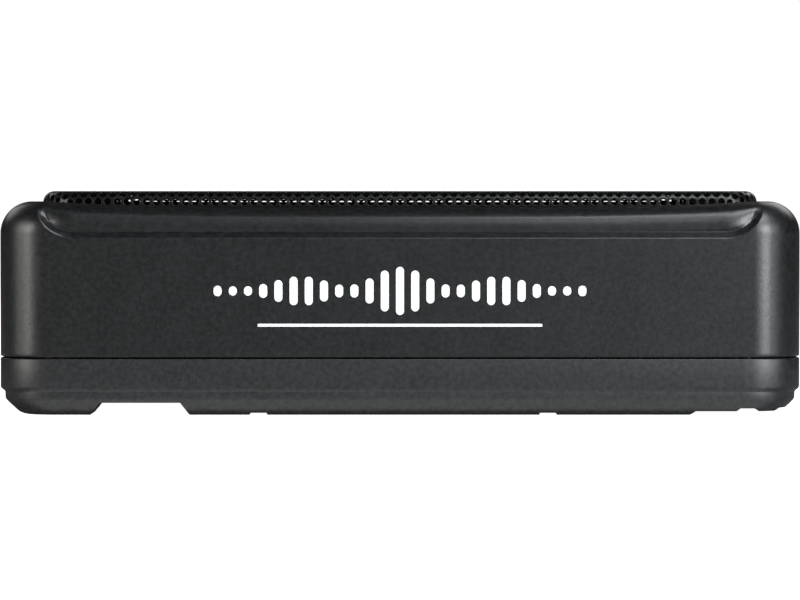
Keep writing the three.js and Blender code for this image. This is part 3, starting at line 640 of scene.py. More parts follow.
def upper_skin_rows():
    """[z, inset, tilt] of the outer skin from the seam up to the recess, tilt being how far the surface has
    turned up, in degrees."""
    edge = SHELL.edge
    fillet_z = TOP_Z - SHELL.fillet
    turn = np.radians([0, 30, 60, 90])
    rows = [(SEAM_TOP + edge * (1 - math.cos(a)), edge * (1 - math.sin(a)), 0) for a in turn]
    rows += [(z, 0, 0) for z in np.linspace(SEAM_TOP + 1.2, fillet_z - 2, 6)]
    rows += [(z, 0, 0) for z in np.arange(fillet_z - 1.7, fillet_z - 0.05, 0.2)]
    for degrees in np.concatenate([np.arange(0, 17, 1.15), np.arange(17, 90.1, 2.2), [90]]):
        angle = math.radians(degrees)
        inset = SHELL.fillet * (1 - math.cos(angle))
        rows.append((fillet_z + SHELL.fillet * math.sin(angle), inset, degrees))
    return rows


def recess_rings(columns):
    """From the rim down into the recess, over the ledge, down the well and across the deck."""
    half_x, half_y = HALF_X - RECESS.inset, HALF_Y - RECESS.inset
    edge, ledge, floor = SHELL.edge, RECESS.ledge, RECESS.floor
    rim = [(TOP_Z, edge * 1.6), (TOP_Z, edge), (TOP_Z - edge * 0.3, edge * 0.3), (TOP_Z - edge, 0)]
    walls = [(floor + edge, 0), (floor, -edge), (floor, edge - ledge), (floor - edge, -ledge),
             (DECK.top + edge, -ledge), (DECK.top, -ledge - edge)]
    return ([plan_ring(columns, z, half_x + out, half_y + out, RECESS.corner + out) for z, out in rows]
            for rows in (rim, walls))


def circle_ring(like, z, radius):
    """A ring on the driver's axis whose points lie in the same directions as those of another ring."""
    turn = np.arctan2(like[:, 1] - DRIVER_Y, like[:, 0])
    return np.stack([radius * np.cos(turn), DRIVER_Y + radius * np.sin(turn), 0 * turn + z], axis=-1)


def pocket():
    """Half the width of the pocket that the connection panel closes, and its lowest and highest z."""
    return PANEL_HIGH[0] + GAP, PANEL_LOW[2] - GAP, PANEL_HIGH[2] + GAP


def pocket_parts():
    """The walls, floor and bosses of the pocket."""
    front_y, back_y = CONTROL_BOARD_Y[0], HALF_Y - 1
    mouth_x, z0, z1 = pocket()
    outer_x, floor_z, boss_y = mouth_x + SHELL.wall, z0 - 2.4, PANEL_LOW[1] - GAP
    parts = [block(-outer_x, outer_x, front_y, back_y, floor_z, z0)]
    for side in (-1, 1):
        parts.append(block(side * mouth_x, side * outer_x, front_y, back_y, floor_z, z1 + 1))
        for low, high in ((z0 - 1, z0 + 8), (z1 - 8, z1 + 1)):
            parts.append(block(side * 84.5, side * (mouth_x + 1), front_y, boss_y, low, high))
    return parts


def pocket_mouth():
    """What is cut through the rear wall: the panel's window, with a chamfered mouth."""
    chamfer = 0.8
    half_x, z0, z1 = pocket()
    levels = [(140, 0), (HALF_Y - chamfer, 0), (HALF_Y + 0.2, chamfer + 0.2)]
    return skin([[(-half_x - g, y, z0 - g), (-half_x - g, y, z1 + g), (half_x + g, y, z1 + g),
                  (half_x + g, y, z0 - g)] for y, g in levels])


def upper_shell():
    columns = plan_columns(fine_from=97, fine_step=0.4, coarse_step=7)
    rows = upper_skin_rows()
    rim, walls = recess_rings(columns)
    outer = np.array([inset_ring(columns, z, inset) for z, inset, _ in rows] + rim)
    tilt = np.radians([degrees for _, _, degrees in rows] + [90] * len(rim))[:, None]
    depth = scoop_depth(columns, outer)
    outer[..., 0] -= depth * np.cos(tilt) * columns[None, :, 2]
    outer[..., 1] -= depth * np.cos(tilt) * columns[None, :, 3]
    outer[..., 2] -= depth * np.sin(tilt)
    edge, wall, rabbet = SHELL.edge, SHELL.wall, SHELL.rabbet
    cutout = [circle_ring(walls[-1], z, DECK.cutout + out) for z, out in (
        (DECK.top, edge), (DECK.top - edge, 0), (DECK.bottom + edge, 0), (DECK.bottom, edge))]
    inner = [inset_ring(columns, z, inset) for z, inset in (
        (DECK.bottom, wall + 1.5), (DECK.bottom - 0.4, wall + 0.4), (DECK.bottom - 1.5, wall),
        (SEAM_TOP + 1.05, wall), (SEAM_TOP + 1.05, rabbet), (SEAM_TOP, rabbet))]
    shell = skin([*outer, *walls, *cutout, *inner], closed=True)
    join(shell, *pocket_parts())
    cut(shell, pocket_mouth())
    join(shell, *[bar(x, y, 5, LOWER_HIGH[2] - 0.15, DECK.bottom + 1) for x, y in HOUSING_SCREWS])
    holes = [bar(x, y, 1.6, 17, 32, 16) for x, y in HOUSING_SCREWS]
    holes += [bar(x, y, 2, DECK.bottom - 1, DECK.top + 1, 20) for x, y in DRIVER_SCREWS]
    finished(cut(shell, *holes), "upper_shell", looks.upper, "upper_housing", angle=32)


def underside_tools():
    """What is cut from the base, as outlines that run from front to back and as pockets between the pads."""
    low, far, past_x = -2, HALF_Y + 1, HALF_X + 1
    relief = BASE.relief
    strap = [(-96.2, low), (-65.3, low), (-65.3, 0), (-68.1, relief), (-93, relief), (-96.2, 0)]
    right = [(90, low), (past_x, low), (past_x, 2.1), (118.1, 2.1), (116.5, 1.2), (111.4, 1.2), (110.2, 2.1),
             (105.6, 2.1), (104.4, 1.2), (91.8, 1.2), (90, 0)]
    notches = [[(x - 3.3, low), (x + 3.3, low), (x + 2.6, 0.7), (x - 2.6, 0.7)] for x in (-44, 46)]
    reach = HALF_Y - 24
    pockets = [block(x0, x1, -reach, reach, low, relief) for x0, x1 in ((-past_x, -93), (91.8, past_x))]
    return [prism(outline, -far, far) for outline in (strap, right, *notches)] + pockets


def lower_shell():
    edge, wall, step, rim = SHELL.edge, SHELL.wall, BASE.step_z, LOWER_HIGH[2]
    rows = [(z, BASE.in_x + inwards, BASE.in_y + SHORT_SIDE_SHARE * inwards) for z, inwards in LOWER_EDGE]
    rows += [(step - 1.1, BASE.in_x, BASE.in_y), (step - 0.6, 1.2, 0.45), (step - 0.2, 0.6, 0.25),
             (step + 0.3, 0.12, 0.08), (step + 0.9, 0), (13, 0), (rim - edge, 0)]
    rows += [(rim - edge * (1 - math.sin(a)), edge * (1 - math.cos(a))) for a in np.radians([30, 60, 90])]
    rows += [(rim, wall - edge), (rim - edge, wall), (BASE.floor + 1.2, wall),
             (BASE.floor + 0.3, wall + 0.35), (BASE.floor, wall + 1.3)]
    columns = plan_columns(fine_from=90, fine_step=4, coarse_step=15, arc_coarse=5)
    tray = skin([inset_ring(columns, *row) for row in rows])
    belly = HALF_Y - wall - 4
    cut(tray, block(-62, 87, -belly, belly, BASE.belly_floor, BASE.floor + 1))
    posts = [bar(x, y, 6.5, 4.5, 17) for x, y in HOUSING_SCREWS]
    posts += [bar(x, y, 3.2, 2, BOARD_LOW[2] - GAP) for x, y in BOARD_POSTS]
    join(tray, *posts, *[bar(x, y, 5, 1, 9) for x, y in BRACKET_INSERTS])
    tools = underside_tools()
    tools += [bar(x, y, 4.3, -1, 9) for x, y in HOUSING_SCREWS]
    tools += [bar(x, y, 1.9, 8, 18) for x, y in HOUSING_SCREWS]
    tools += [bar(x, y, 3.6, -1, 7.2) for x, y in BRACKET_INSERTS]
    finished(cut(tray, *tools), "lower_shell", looks.lower, "lower_housing", angle=32)


def bracket_inserts():
    """Threaded brass inserts, let into the base."""
    thread = [(2.5 + 0.22 * (i % 2), z) for i, z in enumerate(np.arange(6.6, 0.6, -0.4))]
    profile = [(2.75, 0.3), (3.3, 0.3), (3.5, 0.6), (3.5, 6.9), (2.6, 6.9), *thread]
    pieces = (turned(profile, 36, (*place, 0)) for place in BRACKET_INSERTS)
    numbered("bracket_insert", looks.brass, pieces, slot="gold_plate")


def keep_gasket():
    """The CAD's foam seal stays, in foam and with rounded edges."""
    gasket = frame["nodes"]["housing_gasket"]
    gasket.data.materials.clear()
    gasket.data.materials.append(looks.foam)
    bevel_step(gasket, 0.2, 60)


# ---- grille

def bend_over(flat, below):
    """Carries points of the flat blank onto the pan: level in the middle, round the edge, down the skirt."""
    inner = np.array([GRILLE_HIGH[0], GRILLE_HIGH[1]]) - GRILLE.edge
    corner = GRILLE.corner - GRILLE.edge
    core = np.clip(flat, corner - inner, inner - corner)
    away = flat - core
    distance = np.linalg.norm(away, axis=-1, keepdims=True)
    outwards = away / np.maximum(distance, 1e-9)
    past = np.maximum(distance - corner, 0)
    angle = np.minimum(past / GRILLE.edge, math.pi / 2)
    down = np.maximum(past - GRILLE.edge * math.pi / 2, 0)
    reach = np.minimum(distance, corner) + (GRILLE.edge - below) * np.sin(angle)
    height = GRILLE_HIGH[2] - GRILLE.edge + (GRILLE.edge - below) * np.cos(angle) - down
    return np.concatenate([core + outwards * reach, height], axis=-1), past[..., 0]


def hole_lattice():
    """The number of each hole by row and place, or -1, then the holes' centres and each row's number."""
    skirt = GRILLE_HIGH[2] - GRILLE.edge - GRILLE_LOW[2]
    reach = GRILLE.edge * math.pi / 2 + skirt - GRILLE.hole
    rows = int((GRILLE_HIGH[1] + reach) / ROW_PITCH) + 1
    across = int((GRILLE_HIGH[0] + reach) / GRILLE.pitch) + 2
    row, place = np.meshgrid(np.arange(-rows, rows), np.arange(-across, across + 1), indexing="ij")
    x = (place + (row % 2) / 2) * GRILLE.pitch
    centres = np.stack([x, (row + GRILLE.first_row) * ROW_PITCH], axis=-1)
    kept = bend_over(centres, 0)[1] < reach
    number = np.where(kept, np.cumsum(kept.ravel()).reshape(kept.shape) - 1, -1)
    return number, centres[kept], row


def neighbours(number, row):
    """For each hole, its number and the numbers of those at 0, 60 and 120 degrees from it."""
    rows, places = number.shape
    padded = np.pad(number, 1, constant_values=-1)
    beside, above, above_right, above_left = (
        padded[1 + up:, 1 + right:][:rows, :places] for up, right in ((0, 1), (1, 0), (1, 1), (1, -1)))
    odd = row % 2 == 1
    at_60 = np.where(odd, above_right, above)
    at_120 = np.where(odd, above, above_left)
    kept = number >= 0
    return number[kept], beside[kept], at_60[kept], at_120[kept]


def sheet_faces():
    """The faces between the holes, seen from above: a bridge to each neighbour and the web among three."""
    number, centres, row = hole_lattice()
    hole, east, north_east, north_west = neighbours(number, row)

    def faces(*corners):
        there = np.all([other >= 0 for other, _ in corners], axis=0)
        return np.stack([(other * GRILLE.sides + corner)[there] for other, corner in corners], axis=-1)

    bridges = [
        faces((hole, 11), (east, 6), (east, 5), (hole, 0)),
        faces((hole, 1), (north_east, 8), (north_east, 7), (hole, 2)),
        faces((hole, 3), (north_west, 10), (north_west, 9), (hole, 4)),
    ]
    webs = [
        faces((hole, 0), (east, 5), (east, 4), (north_east, 9), (north_east, 8), (hole, 1)),
        faces((hole, 2), (north_east, 7), (north_east, 6), (north_west, 11), (north_west, 10), (hole, 3)),
    ]
    return centres, np.concatenate(bridges), np.concatenate(webs)


def rims_of(*face_blocks):
    """Directed edges that have a face on one side only."""
    edges = np.concatenate([
        np.stack([block, np.roll(block, -1, axis=1)], axis=-1).reshape(-1, 2) for block in face_blocks
    ]).astype(np.int64)
    span = int(edges.max()) + 1
    forwards = edges[:, 0] * span + edges[:, 1]
    backwards = edges[:, 1] * span + edges[:, 0]
    return edges[~np.isin(forwards, backwards)]


def grille_sheets():
    """The perforated pan, in three lengths so that each stays a mesh of a handy size."""
    centres, bridges, webs = sheet_faces()
    turn = np.radians(15 + 30 * np.arange(GRILLE.sides))
    circle = GRILLE.hole * np.stack([np.cos(turn), np.sin(turn)], axis=-1)
    flat = (centres[:, None] + circle[None]).reshape(-1, 2)
    top, under = (bend_over(flat, below)[0] for below in (0, GRILLE.sheet))
    limits = np.quantile(centres[:, 1], [0, 1 / 3, 2 / 3, 1]) + [-99, 0.1, 0.1, 99]
    for number, (start, end) in enumerate(zip(limits[:-1], limits[1:]), 1):
        chosen = []
        for faces in (bridges, webs):
            middle = flat[faces, 1].mean(axis=1)
            chosen.append(faces[(middle >= start) & (middle < end)])
        used, index = np.unique(np.concatenate([faces.ravel() for faces in chosen]), return_inverse=True)
        split = chosen[0].size
        quads, hexes = index[:split].reshape(-1, 4), index[split:].reshape(-1, 6)
        rims = rims_of(quads, hexes)
        lower = len(used)
        walls = np.stack([rims[:, 1], rims[:, 0], rims[:, 0] + lower, rims[:, 1] + lower], axis=-1)
        every_quad = np.concatenate([quads, quads[:, ::-1] + lower, walls])
        every_hex = np.concatenate([hexes, hexes[:, ::-1] + lower])
        made = solid(np.concatenate([top[used], under[used]]), every_quad, every_hex)
        node = "grille" if number == 2 else None
        finished(made, f"grille_sheet_{number}", looks.grille, node, "grille_steel", angle=50)


# ---- fasteners

def cross_recess(size, top, deep):
    """A cutter for the cross in a screw's head."""
    wide = size * 0.22
    return join(*[slab(0, x, -y, y, top - deep, top + 1) for x, y in ((size, wide), (wide, size))])


def screw(place, head, height, shaft, length, turn=0):
    """A pan-head screw with its head's underside at a place: a domed head with a cross recess and a ringed
    thread. It points down, or elsewhere when it is turned about X."""
    threads = np.arange(-length + 1.4, -0.8, 0.45)
    profile = [(0, -length), (shaft * 0.35, -length), (shaft * 0.8, -length + 1)]
    profile += [(shaft - 0.22 * (i % 2), z) for i, z in enumerate(threads)]
    profile += [(shaft, -0.4), (shaft, 0), (head - 0.25, 0), (head, 0.25), (head, height * 0.45)]
    dome = np.radians([70, 50, 32, 18])
    profile += [(head * math.sin(a), height * (0.45 + 0.55 * math.cos(a))) for a in dome]
    made = turned([*profile, (0, height)], 40)
    cut(made, cross_recess(head * 0.55, height, min(1.3, height * 0.62)))
    turning = Matrix.Rotation(math.radians(turn), 4, "X")
    made.data.transform(Matrix.Translation(Vector(place) * MM) @ turning)
    return made


def fasteners():
    rows = {
        "housing_screw": [screw((x, y, 8.7), 3.8, 3, 1.3, 21, turn=180) for x, y in HOUSING_SCREWS],
        "driver_screw": [screw((x, y, FLANGE_TOP + GAP), 3, 2, 1.6, 9) for x, y in DRIVER_SCREWS],
        "panel_screw": [screw((x, PANEL_FACE + GAP, z), 2.4, 1.7, 1.2, 9, turn=-90) for x, z in PANEL_SCREWS],
    }
    for stem, pieces in rows.items():
        numbered(stem, looks.screw, pieces, angle=30)


# ---- driver

def about_driver(profile, segments=128):
    return turned(profile, segments, (0, DRIVER_Y, 0))


def arc(centre_x, centre_z, radius, start, end, steps):
    return [(centre_x + radius * math.cos(a), centre_z + radius * math.sin(a))
            for a in np.radians(np.linspace(start, end, steps + 1))]


def radii_of(made):
    places = places_of(made)
    return np.hypot(places[:, 0], places[:, 1] - DRIVER_Y)


def sleeve(name, look, inner, outer, z0, z1, edge=0.6):
    corners = [(inner, z0), (outer, z0), (outer, z1), (inner, z1)]
    return finished(about_driver(rounded(corners, edge)), name, look)


def basket():
    """The pressed frame, with a rib pressed into each of its six arms."""
    bottom, wall, outer = 28.7, 94.2, 106
    profile = [(23, bottom), (53, bottom), (53, 35.7), (58.5, 35.7), (88, 39.6), (wall, 48.6), (wall, 53.3),
               (outer, 53.3), (outer, FLANGE_TOP), (91.7, FLANGE_TOP), (91.7, 49.4), (86.6, 42.2), (58, 38.2),
               (50, 38.2), (50, bottom + 2.5), (23, bottom + 2.5)]
    made = about_driver(rounded(profile, 1.0), 180)
    places = places_of(made)
    radius = radii_of(made)
    from_arm = (np.degrees(np.arctan2(places[:, 1] - DRIVER_Y, places[:, 0])) % 60 - 30) / 4
    rib = np.clip(1 - from_arm ** 2, 0, 1) * smoothstep((radius - 60) / 6) * smoothstep((90 - radius) / 6)
    places[:, 2] -= 1.4 * rib
    move_to(made, places)
    windows = []
    for middle in range(0, 360, 60):
        outer_arc = arc(0, DRIVER_Y, 98, middle - 21, middle + 21, 12)
        inner_arc = arc(0, DRIVER_Y, 61, middle + 21, middle - 21, 12)
        windows.append(prism(rounded(outer_arc + inner_arc, 3), 34, 50.3, "Z"))
    holes = [bar(x, y, 2, 52, 57, 24) for x, y in DRIVER_SCREWS]
    finished(cut(made, *windows, *holes), "driver_basket", looks.basket, angle=30)


def surround():
    """The half-roll of rubber that carries the cone."""
    under = FLANGE_TOP + GAP
    centre, radius, sheet = 84, 6.1, 0.9
    top = under + sheet
    profile = [(75, under), (centre - radius + sheet - 0.6, under),
               *arc(centre, under, radius - sheet, 172, 8, 22),
               (centre + radius - sheet + 0.6, under), (97.7, under), (98, under + 0.3), (98, top),
               (centre + radius + 0.5, top), *arc(centre, under + 0.4, radius, 7, 173, 24),
               (centre - radius - 0.5, top), (75.4, top), (75, under + 0.6)]
    made = about_driver(profile, 160)
    weights = np.clip((centre + radius - radii_of(made)) / (2 * radius), 0, 1)
    finished(made, "surround", looks.rubber, weights=weights, angle=50)


def spider():
    """The corrugated cloth disc that centres the coil."""
    under, thick = 38.5, 0.9
    radii = np.concatenate([[19.3, 22, 24], np.linspace(25, 44, 58), [48, 57]])
    waves = 0.8 * (1 - np.cos((radii - 24) * 2 * math.pi / 10)) * ((radii > 24) & (radii < 44))
    lower, upper = ([(r, z + h) for r, h in zip(radii, waves)] for z in (under, under + thick))
    made = about_driver(lower + upper[::-1])
    weights = np.clip((50 - radii_of(made)) / 26, 0, 1)
    finished(made, "spider", looks.spider, weights=weights, angle=60)


def tinsel_lead(name, side):
    """The braided lead from the terminal block to the cone, and its rivet there."""
    points = [(12, 64, 35.6), (12, 63, 39), (11.5, 55, 43.2), (11, 44, 43.9), (10, 33, 43.1)]
    count, sides = 64, 12
    route = smooth_route([(side * x, DRIVER_Y + y, z) for x, y, z in points], count)
    corner = np.arange(count * sides)
    twist = corner // sides * 0.9 + corner % sides * math.pi / 2
    made = tube(route, 0.8 * (0.93 + 0.07 * np.cos(twist)), sides)
    weights = np.repeat(smoothstep(np.linspace(-0.05, 1.02, count)), sides)
    finished(made, name, looks.braid, weights=weights, angle=80)
    rivet = [(0, 43.3), (1.5, 43.4), (1.9, 43.8), (1.9, 44.7), (0, 44.7)]
    made = turned(rivet, 24, (side * 10, DRIVER_Y + 33, 0))
    finished(made, f"lead_rivet_{side + 2}", looks.tin, body="cone_assembly")


def terminal_block():
    made = slab(0, 16, DRIVER_Y + 60, DRIVER_Y + 68, 31.5, 35.3)
    finished(bevel(made, 0.5), "driver_terminal_block", looks.plastic)
    for side in (-1, 1):
        x = side * 12
        tab = slab(x, 2, DRIVER_Y + 65.4, DRIVER_Y + 73, 33.2, 34)
        cut(tab, bar(x, DRIVER_Y + 70.6, 0.8, 32, 35, 20))
        finished(bevel(tab, 0.15), f"solder_tab_{side + 2}", looks.tin)


def driver():
    basket()
    surround()
    spider()
    tinsel_lead("tinsel_lead_left", -1)
    tinsel_lead("tinsel_lead_right", 1)
    rim = FLANGE_TOP - 0.1
    cone = [(19.2, 41.6), (26, 42.5), (40, 45.4), (58, 49.9), (74.6, 54.3), (78, 54.4), (78, rim),
            (74.3, rim), (57.6, 51.3), (39.6, 46.9), (26, 44), (19.2, 43.1)]
    finished(about_driver(rounded(cone, 0.35, 2), 144), "cone", looks.paper)
    share = np.linspace(0, 1, 22)
    over, beneath = ([(radius * (1 - s), 46.2 + high * (1 - (1 - s) ** 2)) for s in share]
                     for radius, high in ((31, 7.6), (29.4, 6.6)))
    finished(about_driver(beneath[::-1] + over), "dust_cap", looks.cap)
    sleeve("voice_coil_former", looks.former, 18.3, 18.9, 18, 43.5, 0.1)
    wires = [(20.2 - 0.12 * (i % 2), z) for i, z in enumerate(np.arange(18.9, 31.6, 0.26))]
    finished(about_driver([(19.2, 18.7), *wires, (19.2, 31.7)]), "voice_coil", looks.coil)
    sleeve("driver_gasket", looks.foam, 94.5, 98.6, FLANGE_TOP + 1.5, FLANGE_TOP + 3, 0.4)
    sleeve("top_plate", looks.zinc, 20.9, 48, 22.9, 28.4)
    sleeve("magnet", looks.ferrite, 26, 50, 10.6, 22.6, 1.0)
    yoke = [(5, 4.3), (50, 4.3), (50, 10.3), (17.7, 10.3), (17.7, 28.5), (5, 28.5)]
    finished(about_driver(rounded(yoke, 0.8)), "pole_yoke", looks.zinc)
    terminal_block()


# ---- amplifier

def transistor(number, x):
    y, z = SPREADER_Y - GAP, BOARD_REST
    body = bevel(slab(x, 5, y - 4.6, y - 1.45, z + 9, z + 18), 0.5)
    cut(body, bar_y(x - 3.2, z + 16.4, 0.8, y - 5, y - 4.4, 20))
    finished(body, f"power_transistor_{number}", looks.epoxy)
    tab = bevel(slab(x, 5, y - 1.4, y, z + 9, z + 24.5), 0.3)
    cut(tab, bar_y(x, z + 21.5, 1.7, y - 2, y + 1))
    legs = [bevel(slab(x + i, 0.5, y - 3, y - 2.3, z, z + 9.05), 0.12) for i in (-2.54, 0, 2.54)]
    finished(merged([tab, *legs]), f"transistor_tab_{number}", looks.tin)
    washer = [(0, y - 3.9), (1.7, y - 3.9), (2.9, y - 3.4), (3.1, y - 2.1), (3.1, y - 1.5), (0, y - 1.5)]
    head = turned(washer, 32, (x, 0, z + 21.5), "Y")
    cut(head, slab(x, 2.2, y - 5, y - 3.1, z + 21.2, z + 21.8))
    finished(head, f"clamp_screw_{number}", looks.zinc)


def capacitor(number, x):
    y, z = CAPACITOR_Y, BOARD_REST
    wall = [(0, 0), (7.6, 0), (8, 0.4), (8, 2), (7.65, 2.6), (7.65, 3), (8, 3.6), (8, 30.4), (7.6, 31.3),
            (6.9, 31.4), (6.8, 31.1), (0, 31.1)]
    finished(turned(wall, 64, (x, y, z)), f"capacitor_{number}", looks.sleeve)
    lid = bar(x, y, 6.7, z + 31.15, z + 31.4, 48)
    vent = [slab(x, half_x, y - half_y, y + half_y, z + 31.27, z + 32)
            for half_x, half_y in ((4.6, 0.25), (0.25, 4.6))]
    finished(cut(lid, join(*vent)), f"capacitor_lid_{number}", looks.tin)


def ring_core(angles, minor, closed):
    """The toroid's shape, or a stretch of it, with a minor radius at each angle."""
    core, sides = 13.5, 20
    around = np.arange(sides) * 2 * math.pi / sides
    reach = core + minor[:, None] * np.cos(around)
    points = np.stack([reach * np.cos(angles)[:, None], reach * np.sin(angles)[:, None],
                       minor[:, None] * np.sin(around)], axis=-1)
    return skin(points + np.array([-68, 98, BOARD_REST + 5.5]), closed, inside_out=True)


def inductors():
    """A ring core with the wire wound round it, turn beside turn, and a wound drum."""
    turns, per_turn, wire = 38, 8, 5.5
    whole = np.linspace(0, 2 * math.pi, 96, endpoint=False)
    finished(ring_core(whole, np.full(96, 4.4), True), "toroid_core", looks.ferrite)
    wave = np.arange(turns * per_turn + 1) / per_turn
    minor = wire - 0.55 * (1 - np.abs(np.sin(wave * math.pi)))
    winding = ring_core(np.radians(-65 + 310 * wave / turns), minor, False)
    finished(winding, "toroid_inductor", looks.toroid, angle=70)
    place = (-26, 92, BOARD_REST)
    drum = [(0, 0), (11, 0), (11, 2.5), (7, 2.5), (7, 15.5), (11, 15.5), (11, 18), (0, 18)]
    finished(turned(rounded(drum, 0.5, 2), 64, place), "output_inductor", looks.ferrite)
    wires = [(9.5 + 0.35 * (i % 2), z) for i, z in enumerate(np.arange(2.9, 15.2, 0.3))]
    finished(turned([(7.1, 2.6), *wires, (7.1, 15.4)], 64, place), "output_winding", looks.toroid, angle=70)


def chip(name, x, y, half_x, half_y, high, legs):
    """A moulded circuit with gull-wing legs along its two long sides."""
    z = BOARD_FACE
    body = bevel(slab(x, half_x, y - half_y, y + half_y, z + 0.2, z + high), 0.25)
    cut(body, bar(x - half_x + 1.1, y - half_y + 1.1, 0.4, z + high - 0.15, z + high + 1, 20))
    finished(body, name, looks.epoxy)
    pins = [slab(x + place, 0.2, y + side * (half_y - 0.1), y + side * (half_y + 0.9), z, z + 0.35)
            for side in (-1, 1) for place in np.linspace(-half_x + 0.8, half_x - 0.8, legs)]
    finished(merged(pins), name + "_legs", looks.tin)


def board_parts():
    """The small parts soldered to the amplifier board, laid out in rows."""
    chip("driver_chip", -40, 116, 7, 3.8, 2.4, 10)
    for number, y in enumerate((100, 112), 1):
        chip(f"preamp_chip_{number}", 84, y, 3.4, 2.4, 1.7, 4)
    z = BOARD_FACE
    bodies, ends = [], []
    rows = [(-90, -50, 70.5, 9), (0, 60, 73, 13), (68, 92, 86, 5), (-10, 66, 119, 14), (68, 92, 124, 5)]
    for x0, x1, y, count in rows:
        for x in np.linspace(x0, x1, count):
            sides = (y - 0.8, y + 0.8, z, z + 0.6)
            bodies.append(bevel(slab(x, 0.75, *sides), 0.08, 1))
            ends += [block(x + side * 0.75, x + side * 1.15, *sides) for side in (-1, 1)]
    finished(merged(bodies), "chip_resistors", looks.epoxy)
    finished(merged(ends), "chip_resistor_ends", looks.tin)
    header = bevel(block(-90, -74, 76, 82, z, z + 6), 0.4)
    finished(cut(header, block(-89, -75, 77, 81, z + 1.2, z + 7)), "speaker_header", looks.plastic)
    pins = [bevel(slab(x, 0.4, 78.6, 79.4, z + 1.2, z + 5), 0.1, 1) for x in (-86, -82, -78)]
    finished(merged(pins), "speaker_header_pins", looks.tin)


def amplifier():
    board = block(*np.stack([BOARD_LOW, BOARD_HIGH], axis=1).ravel())
    cut(board, *[bar(x, y, 1.7, 11, 15) for x, y in BOARD_POSTS])
    finished(bevel(board, 0.15, 1), "amp_board", looks.board)
    screws = (screw((*place, BOARD_FACE), 3, 2, 1.2, 7) for place in BOARD_POSTS)
    numbered("board_screw", looks.zinc, screws, angle=30)
    shelves = [(BOARD_REST, BOARD_REST + 3), *[(z, z + 1.6) for z in (33.4, 28, 22.6)]]
    spreader = slab(0, SPREADER_HALF, SPREADER_Y, SPREADER_Y + 4, BOARD_REST, 38)
    join(spreader, *[slab(0, SPREADER_HALF, SPREADER_Y + 3, SPREADER_Y + 16, *levels) for levels in shelves])
    finished(bevel(spreader, 0.35), "heat_spreader", looks.aluminium)
    for number, x in enumerate(TRANSISTOR_X, 1):
        transistor(number, x)
    for number, x in enumerate(CAPACITOR_X, 1):
        capacitor(number, x)
    inductors()
    board_parts()


# ---- connection panel

def panel_plate():
    """The panel with its windows and holes, and grooves between its groups."""
    y0, y1 = PANEL_LOW[1] - 1, PANEL_FACE + 1
    plate = block(*np.stack([PANEL_LOW, PANEL_HIGH], axis=1).ravel())
    tools = [block(x0 - GAP, x1 + GAP, y0, y1, z0 - GAP, z1 + GAP)
             for x0, x1, z0, z1, _ in CONNECTORS.values()]
    tools.append(slab(LEVER_X, 1.8, y0, y1, LEVER_Z - 1.9, LEVER_Z + 4.4))
    tools += [bar_y(x, KNOB_Z, 3.4, y0, y1, 48) for x in KNOBS.values()]
    tools += [bar_y(JACK_X, z, 4.4, y0, y1, 48) for z in JACKS.values()]
    tools.append(bar_y(*LED_PLACE, 1.8, y0, y1))
    tools += [bar_y(x, z, 1.5, y0, y1) for x, z in PANEL_SCREWS]
    tools += [slab(x, 0.25, PANEL_FACE - 0.35, y1, 24.5, 47.5) for x in (19, -18, -38)]
    finished(bevel(cut(plate, *tools), 0.22), "rear_panel", looks.panel)


def stroke(x0, z0, x1, z1, wide=0.35):
    """A printed line on the panel's face."""
    along = np.array([x1 - x0, z1 - z0], float)
    side = np.array([-along[1], along[0]]) / np.linalg.norm(along) * wide / 2
    start, end = np.array([[x0, z0], [x1, z1]], float)
    return prism([start - side, end - side, end + side, start + side], PANEL_FACE + 0.01, PANEL_FACE + 0.06)


def panel_marks():
    """Dial ticks round the knobs and plain pictograms: no lettering."""
    marks = []
    for x in KNOBS.values():
        for degrees in range(-150, 151, 30):
            s, c = math.sin(math.radians(degrees)), math.cos(math.radians(degrees))
            far = 6.4 if degrees % 150 == 0 else 6.0
            marks.append(stroke(x + 5.3 * s, KNOB_Z + 5.3 * c, x + far * s, KNOB_Z + far * c, 0.3))
    level, low_pass, bass = KNOBS.values()
    marks += [stroke(x, 28, x, 28.8 + 0.6 * i, 0.6) for i, x in enumerate(level - 2.4 + 1.2 * np.arange(5))]
    slope = [(low_pass - 3, 30.4), (low_pass + 0.4, 30.4), (low_pass + 3, 28)]
    hump = [(bass - 3 + 0.5 * i, 28.2 + 2.4 * math.exp(-((i - 6) / 2.6) ** 2)) for i in range(13)]
    for curve in (slope, hump):
        marks += [stroke(*a, *b) for a, b in zip(curve[:-1], curve[1:])]
    ground, _, plus = ENTRIES
    marks += [stroke(plus - 1.2, 25.6, plus + 1.2, 25.6), stroke(plus, 24.4, plus, 26.8)]
    marks += [stroke(ground - w, z, ground + w, z) for w, z in ((1.4, 25.6), (0.9, 25), (0.4, 24.4))]
    marks.append(stroke(ground, 25.6, ground, 26.9))
    marks += [stroke(LEVER_X - 3.6, z, LEVER_X - 2.4, z) for z in (LEVER_Z, LEVER_Z + 2.5)]
    marks += [stroke(x - 5, 27, x + 5, 27) for x in (8, -28)]
    finished(merged(marks), "panel_marks", looks.print, angle=0)


